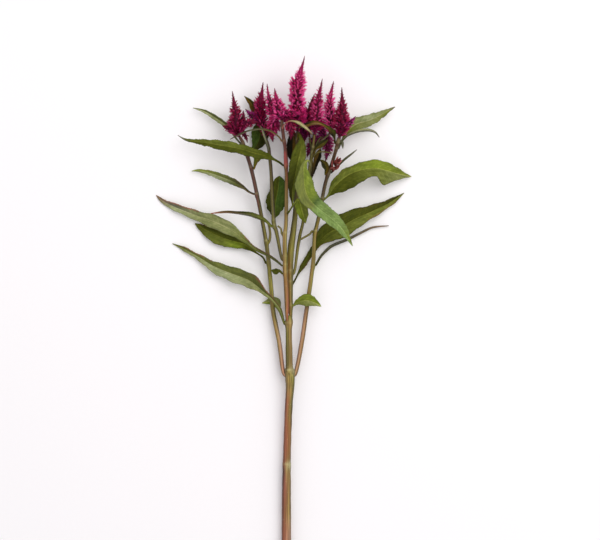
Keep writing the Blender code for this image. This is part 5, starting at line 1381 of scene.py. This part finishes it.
def floret_material(name, main, tip, deep, lilac, tip_amount, aged_from):
    """Papery florets: a deep colour at their base that is painted shade between the florets, tips lighter
    partly by their own colour and partly by painted highlight, darker towards the spike's tip.
    """
    material, nodes, shader = new_material(
        name, 0.55, Specular_IOR_Level=0.12, Subsurface_Weight=0.15, Subsurface_Scale=1.2 * MM)
    along, tone, height = nodes.parts(nodes.attribute("petal", "Vector"))
    patches, fine = nodes.group("mottle", Vector=nodes.place(), Patch=260.0, Grain=2600.0)[:2]
    # Painted shade at the base of each tepal, where the florets shade each other, and less of it towards
    # the spike's tip
    young = nodes.times(nodes.smooth(height, 0.5, 0.8), 0.38)
    shaded_at_base = nodes.blend(nodes.calc("MAXIMUM", nodes.smooth(along, 0.08, 0.6), young), deep, main)
    low = nodes.times(nodes.smooth(height, 0.5, 0.0), nodes.times(patches, 0.45))
    cooled = nodes.blend(nodes.times(low, nodes.smooth(along, 0.2, 0.7)), shaded_at_base, lilac)
    # Darker by each floret's tone, which carries its spike's shade and the painted shade at the spike's
    # foot
    toned = nodes.tinted(tone, 0.85, cooled, (0.42, 0.28, 0.38))
    # Lighter tips on the lighter-toned florets, partly their own paler colour and partly a painted
    # highlight
    light = nodes.times(nodes.smooth(tone, 0.7, 0.1), tip_amount)
    tipped = nodes.blend(nodes.times(nodes.smooth(along, 0.3, 0.8), light), toned, tip)
    aged = nodes.blend(nodes.times(nodes.smooth(height, aged_from, 1.0), 0.8), tipped, deep)
    varied = nodes.tinted(patches, 0.3, aged, (0.7, 0.55, 0.65))
    roughness = nodes.plus(nodes.times(fine, 0.2), 0.45)
    nodes.wire(shader, Base_Color=varied, Roughness=roughness, Normal=nodes.bump(fine, 0.15 * MM, 0.6))
    return material


def floor_material(settings):
    """A plain pale floor with the slightest tooth."""
    material, nodes, shader = new_material("floor", 0.8, Specular_IOR_Level=0.2)
    fine = nodes.grain(nodes.place(), 300.0, 2.0)
    colour = nodes.blend(fine, settings.floor, tuple(value * 0.985 for value in settings.floor))
    nodes.wire(shader, Base_Color=colour, Normal=nodes.bump(fine, 0.05 * MM, 0.3))
    return material


def make_materials(scene):
    """Every material of the plant by name."""
    for build in (mottle_group, vein_group, streak_group):
        build()
    leaves = scene.celosia_leaves
    florets = scene.celosia_florets
    stalks = scene.celosia_stalks
    made = {"stalk": stalk_material(stalks), "cut": cut_material(stalks)}
    for kind, greyness in (("leaf", 0.0), ("leaf_grey", 1.0)):
        for side, under in (("_upper", False), ("_under", True)):
            made[kind + side] = leaf_material(kind + side, leaves, under, greyness)
    for colour, tip_amount, aged_from in FLORET_LOOKS:
        made[colour] = floret_material(
            "florets_" + colour, getattr(florets, colour), florets.light, florets.deep, florets.lilac,
            tip_amount, aged_from)
    made["shoot"] = floret_material(
        "young_shoot", florets.shoot_red, florets.light, florets.shoot_deep, florets.shoot_red, 0.15, 0.6)
    return made


class CELOSIA_OT_stage(bpy.types.Operator):
    """Adds the floor, the light and the camera"""
    bl_idname = "celosia.stage"
    bl_label = "Floor, light and camera"

    def execute(self, context):
        settings = context.scene.celosia_stage
        deselect()
        bpy.ops.mesh.primitive_plane_add(size=settings.floor_size)
        floor = context.object
        floor.name = "floor"
        floor.data.materials.append(floor_material(settings))
        x, y = settings.view_centre
        bpy.ops.object.camera_add(location=(x, y, settings.camera_height), rotation=(0, 0, 0))
        camera = context.object
        camera.data.sensor_width = 36.0
        camera.data.lens = 36.0 * settings.camera_height / settings.view_width
        camera.data.clip_end = 30.0
        context.scene.camera = camera
        bpy.ops.object.light_add(type="AREA", location=LAMP_PLACE)
        lamp = context.object
        lamp.data.shape = "DISK"
        lamp.data.size = settings.lamp_size
        lamp.data.energy = settings.lamp_power
        lamp.data.color = LAMP_COLOUR
        aim = Vector(LAMP_AIM) - lamp.location
        lamp.rotation_euler = aim.to_track_quat("-Z", "Y").to_euler()
        world = bpy.data.worlds.new("studio")
        world.use_nodes = True
        sky = world.node_tree.nodes["Background"]
        sky.inputs["Color"].default_value = (*SKY_COLOUR, 1.0)
        sky.inputs["Strength"].default_value = settings.sky_strength
        context.scene.world = world
        context.scene.view_settings.view_transform = "Standard"
        return {"FINISHED"}


class CELOSIA_OT_stalks(bpy.types.Operator):
    """Adds the main stem, its branches and the side stalks"""
    bl_idname = "celosia.stalks"
    bl_label = "Stalks"

    def execute(self, context):
        stalks = all_stalks()
        for name in stalks:
            add_stalk(name, stalks, context.scene.celosia_stalks, MATERIALS)
        return {"FINISHED"}


class CELOSIA_OT_leaves(bpy.types.Operator):
    """Adds the leaves on their petioles"""
    bl_idname = "celosia.leaves"
    bl_label = "Leaves"

    def execute(self, context):
        stalks = all_stalks()
        for number, name in enumerate(LEAVES):
            add_leaf(name, number, stalks, context.scene.celosia_leaves, MATERIALS)
        return {"FINISHED"}


class CELOSIA_OT_spikes(bpy.types.Operator):
    """Adds the flower spikes, each covered with florets"""
    bl_idname = "celosia.spikes"
    bl_label = "Flower spikes"

    def execute(self, context):
        settings = context.scene.celosia_florets
        stalks = all_stalks()
        florets = [model_floret(name, settings, flares, share) for name, flares, share in FLORET_KINDS]
        for number, name in enumerate(SPIKES):
            rest_on_floor(add_spike(name, number, stalks, florets, settings, MATERIALS))
        for floret in florets:
            bpy.data.objects.remove(floret, do_unlink=True)
        return {"FINISHED"}


class CELOSIA_OT_shoot(bpy.types.Operator):
    """Adds the young shoot"""
    bl_idname = "celosia.shoot"
    bl_label = "Young shoot"

    def execute(self, context):
        add_shoot(MATERIALS)
        return {"FINISHED"}


OPERATORS = (CELOSIA_OT_stage, CELOSIA_OT_stalks, CELOSIA_OT_leaves, CELOSIA_OT_spikes, CELOSIA_OT_shoot)
SETTINGS = {
    "celosia_stage": StageSettings,
    "celosia_stalks": StalkSettings,
    "celosia_leaves": LeafSettings,
    "celosia_florets": FloretSettings,
}
MATERIALS = {}


class CELOSIA_PT_sidebar(bpy.types.Panel):
    """Sizes, colours and the steps that add the pieces"""
    bl_idname = "CELOSIA_PT_sidebar"
    bl_label = "Wheat Celosia"
    bl_space_type = "VIEW_3D"
    bl_region_type = "UI"
    bl_category = "Celosia"

    def draw(self, context):
        for operator in OPERATORS:
            self.layout.operator(operator.bl_idname)
        for name, kind in SETTINGS.items():
            box = self.layout.box()
            for key in kind.__annotations__:
                box.prop(getattr(context.scene, name), key)


def register():
    for kind in (*SETTINGS.values(), *OPERATORS, CELOSIA_PT_sidebar):
        bpy.utils.register_class(kind)
    for name, kind in SETTINGS.items():
        setattr(bpy.types.Scene, name, bpy.props.PointerProperty(type=kind))


def unregister():
    for name in SETTINGS:
        delattr(bpy.types.Scene, name)
    for kind in (CELOSIA_PT_sidebar, *OPERATORS[::-1], *reversed(SETTINGS.values())):
        bpy.utils.unregister_class(kind)


def main():
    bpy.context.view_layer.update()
    register()
    MATERIALS.update(make_materials(bpy.context.scene))
    bpy.ops.celosia.stage()
    bpy.ops.celosia.stalks()
    bpy.ops.celosia.leaves()
    bpy.ops.celosia.spikes()
    bpy.ops.celosia.shoot()
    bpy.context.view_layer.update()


if __name__ == "__main__":
    main()
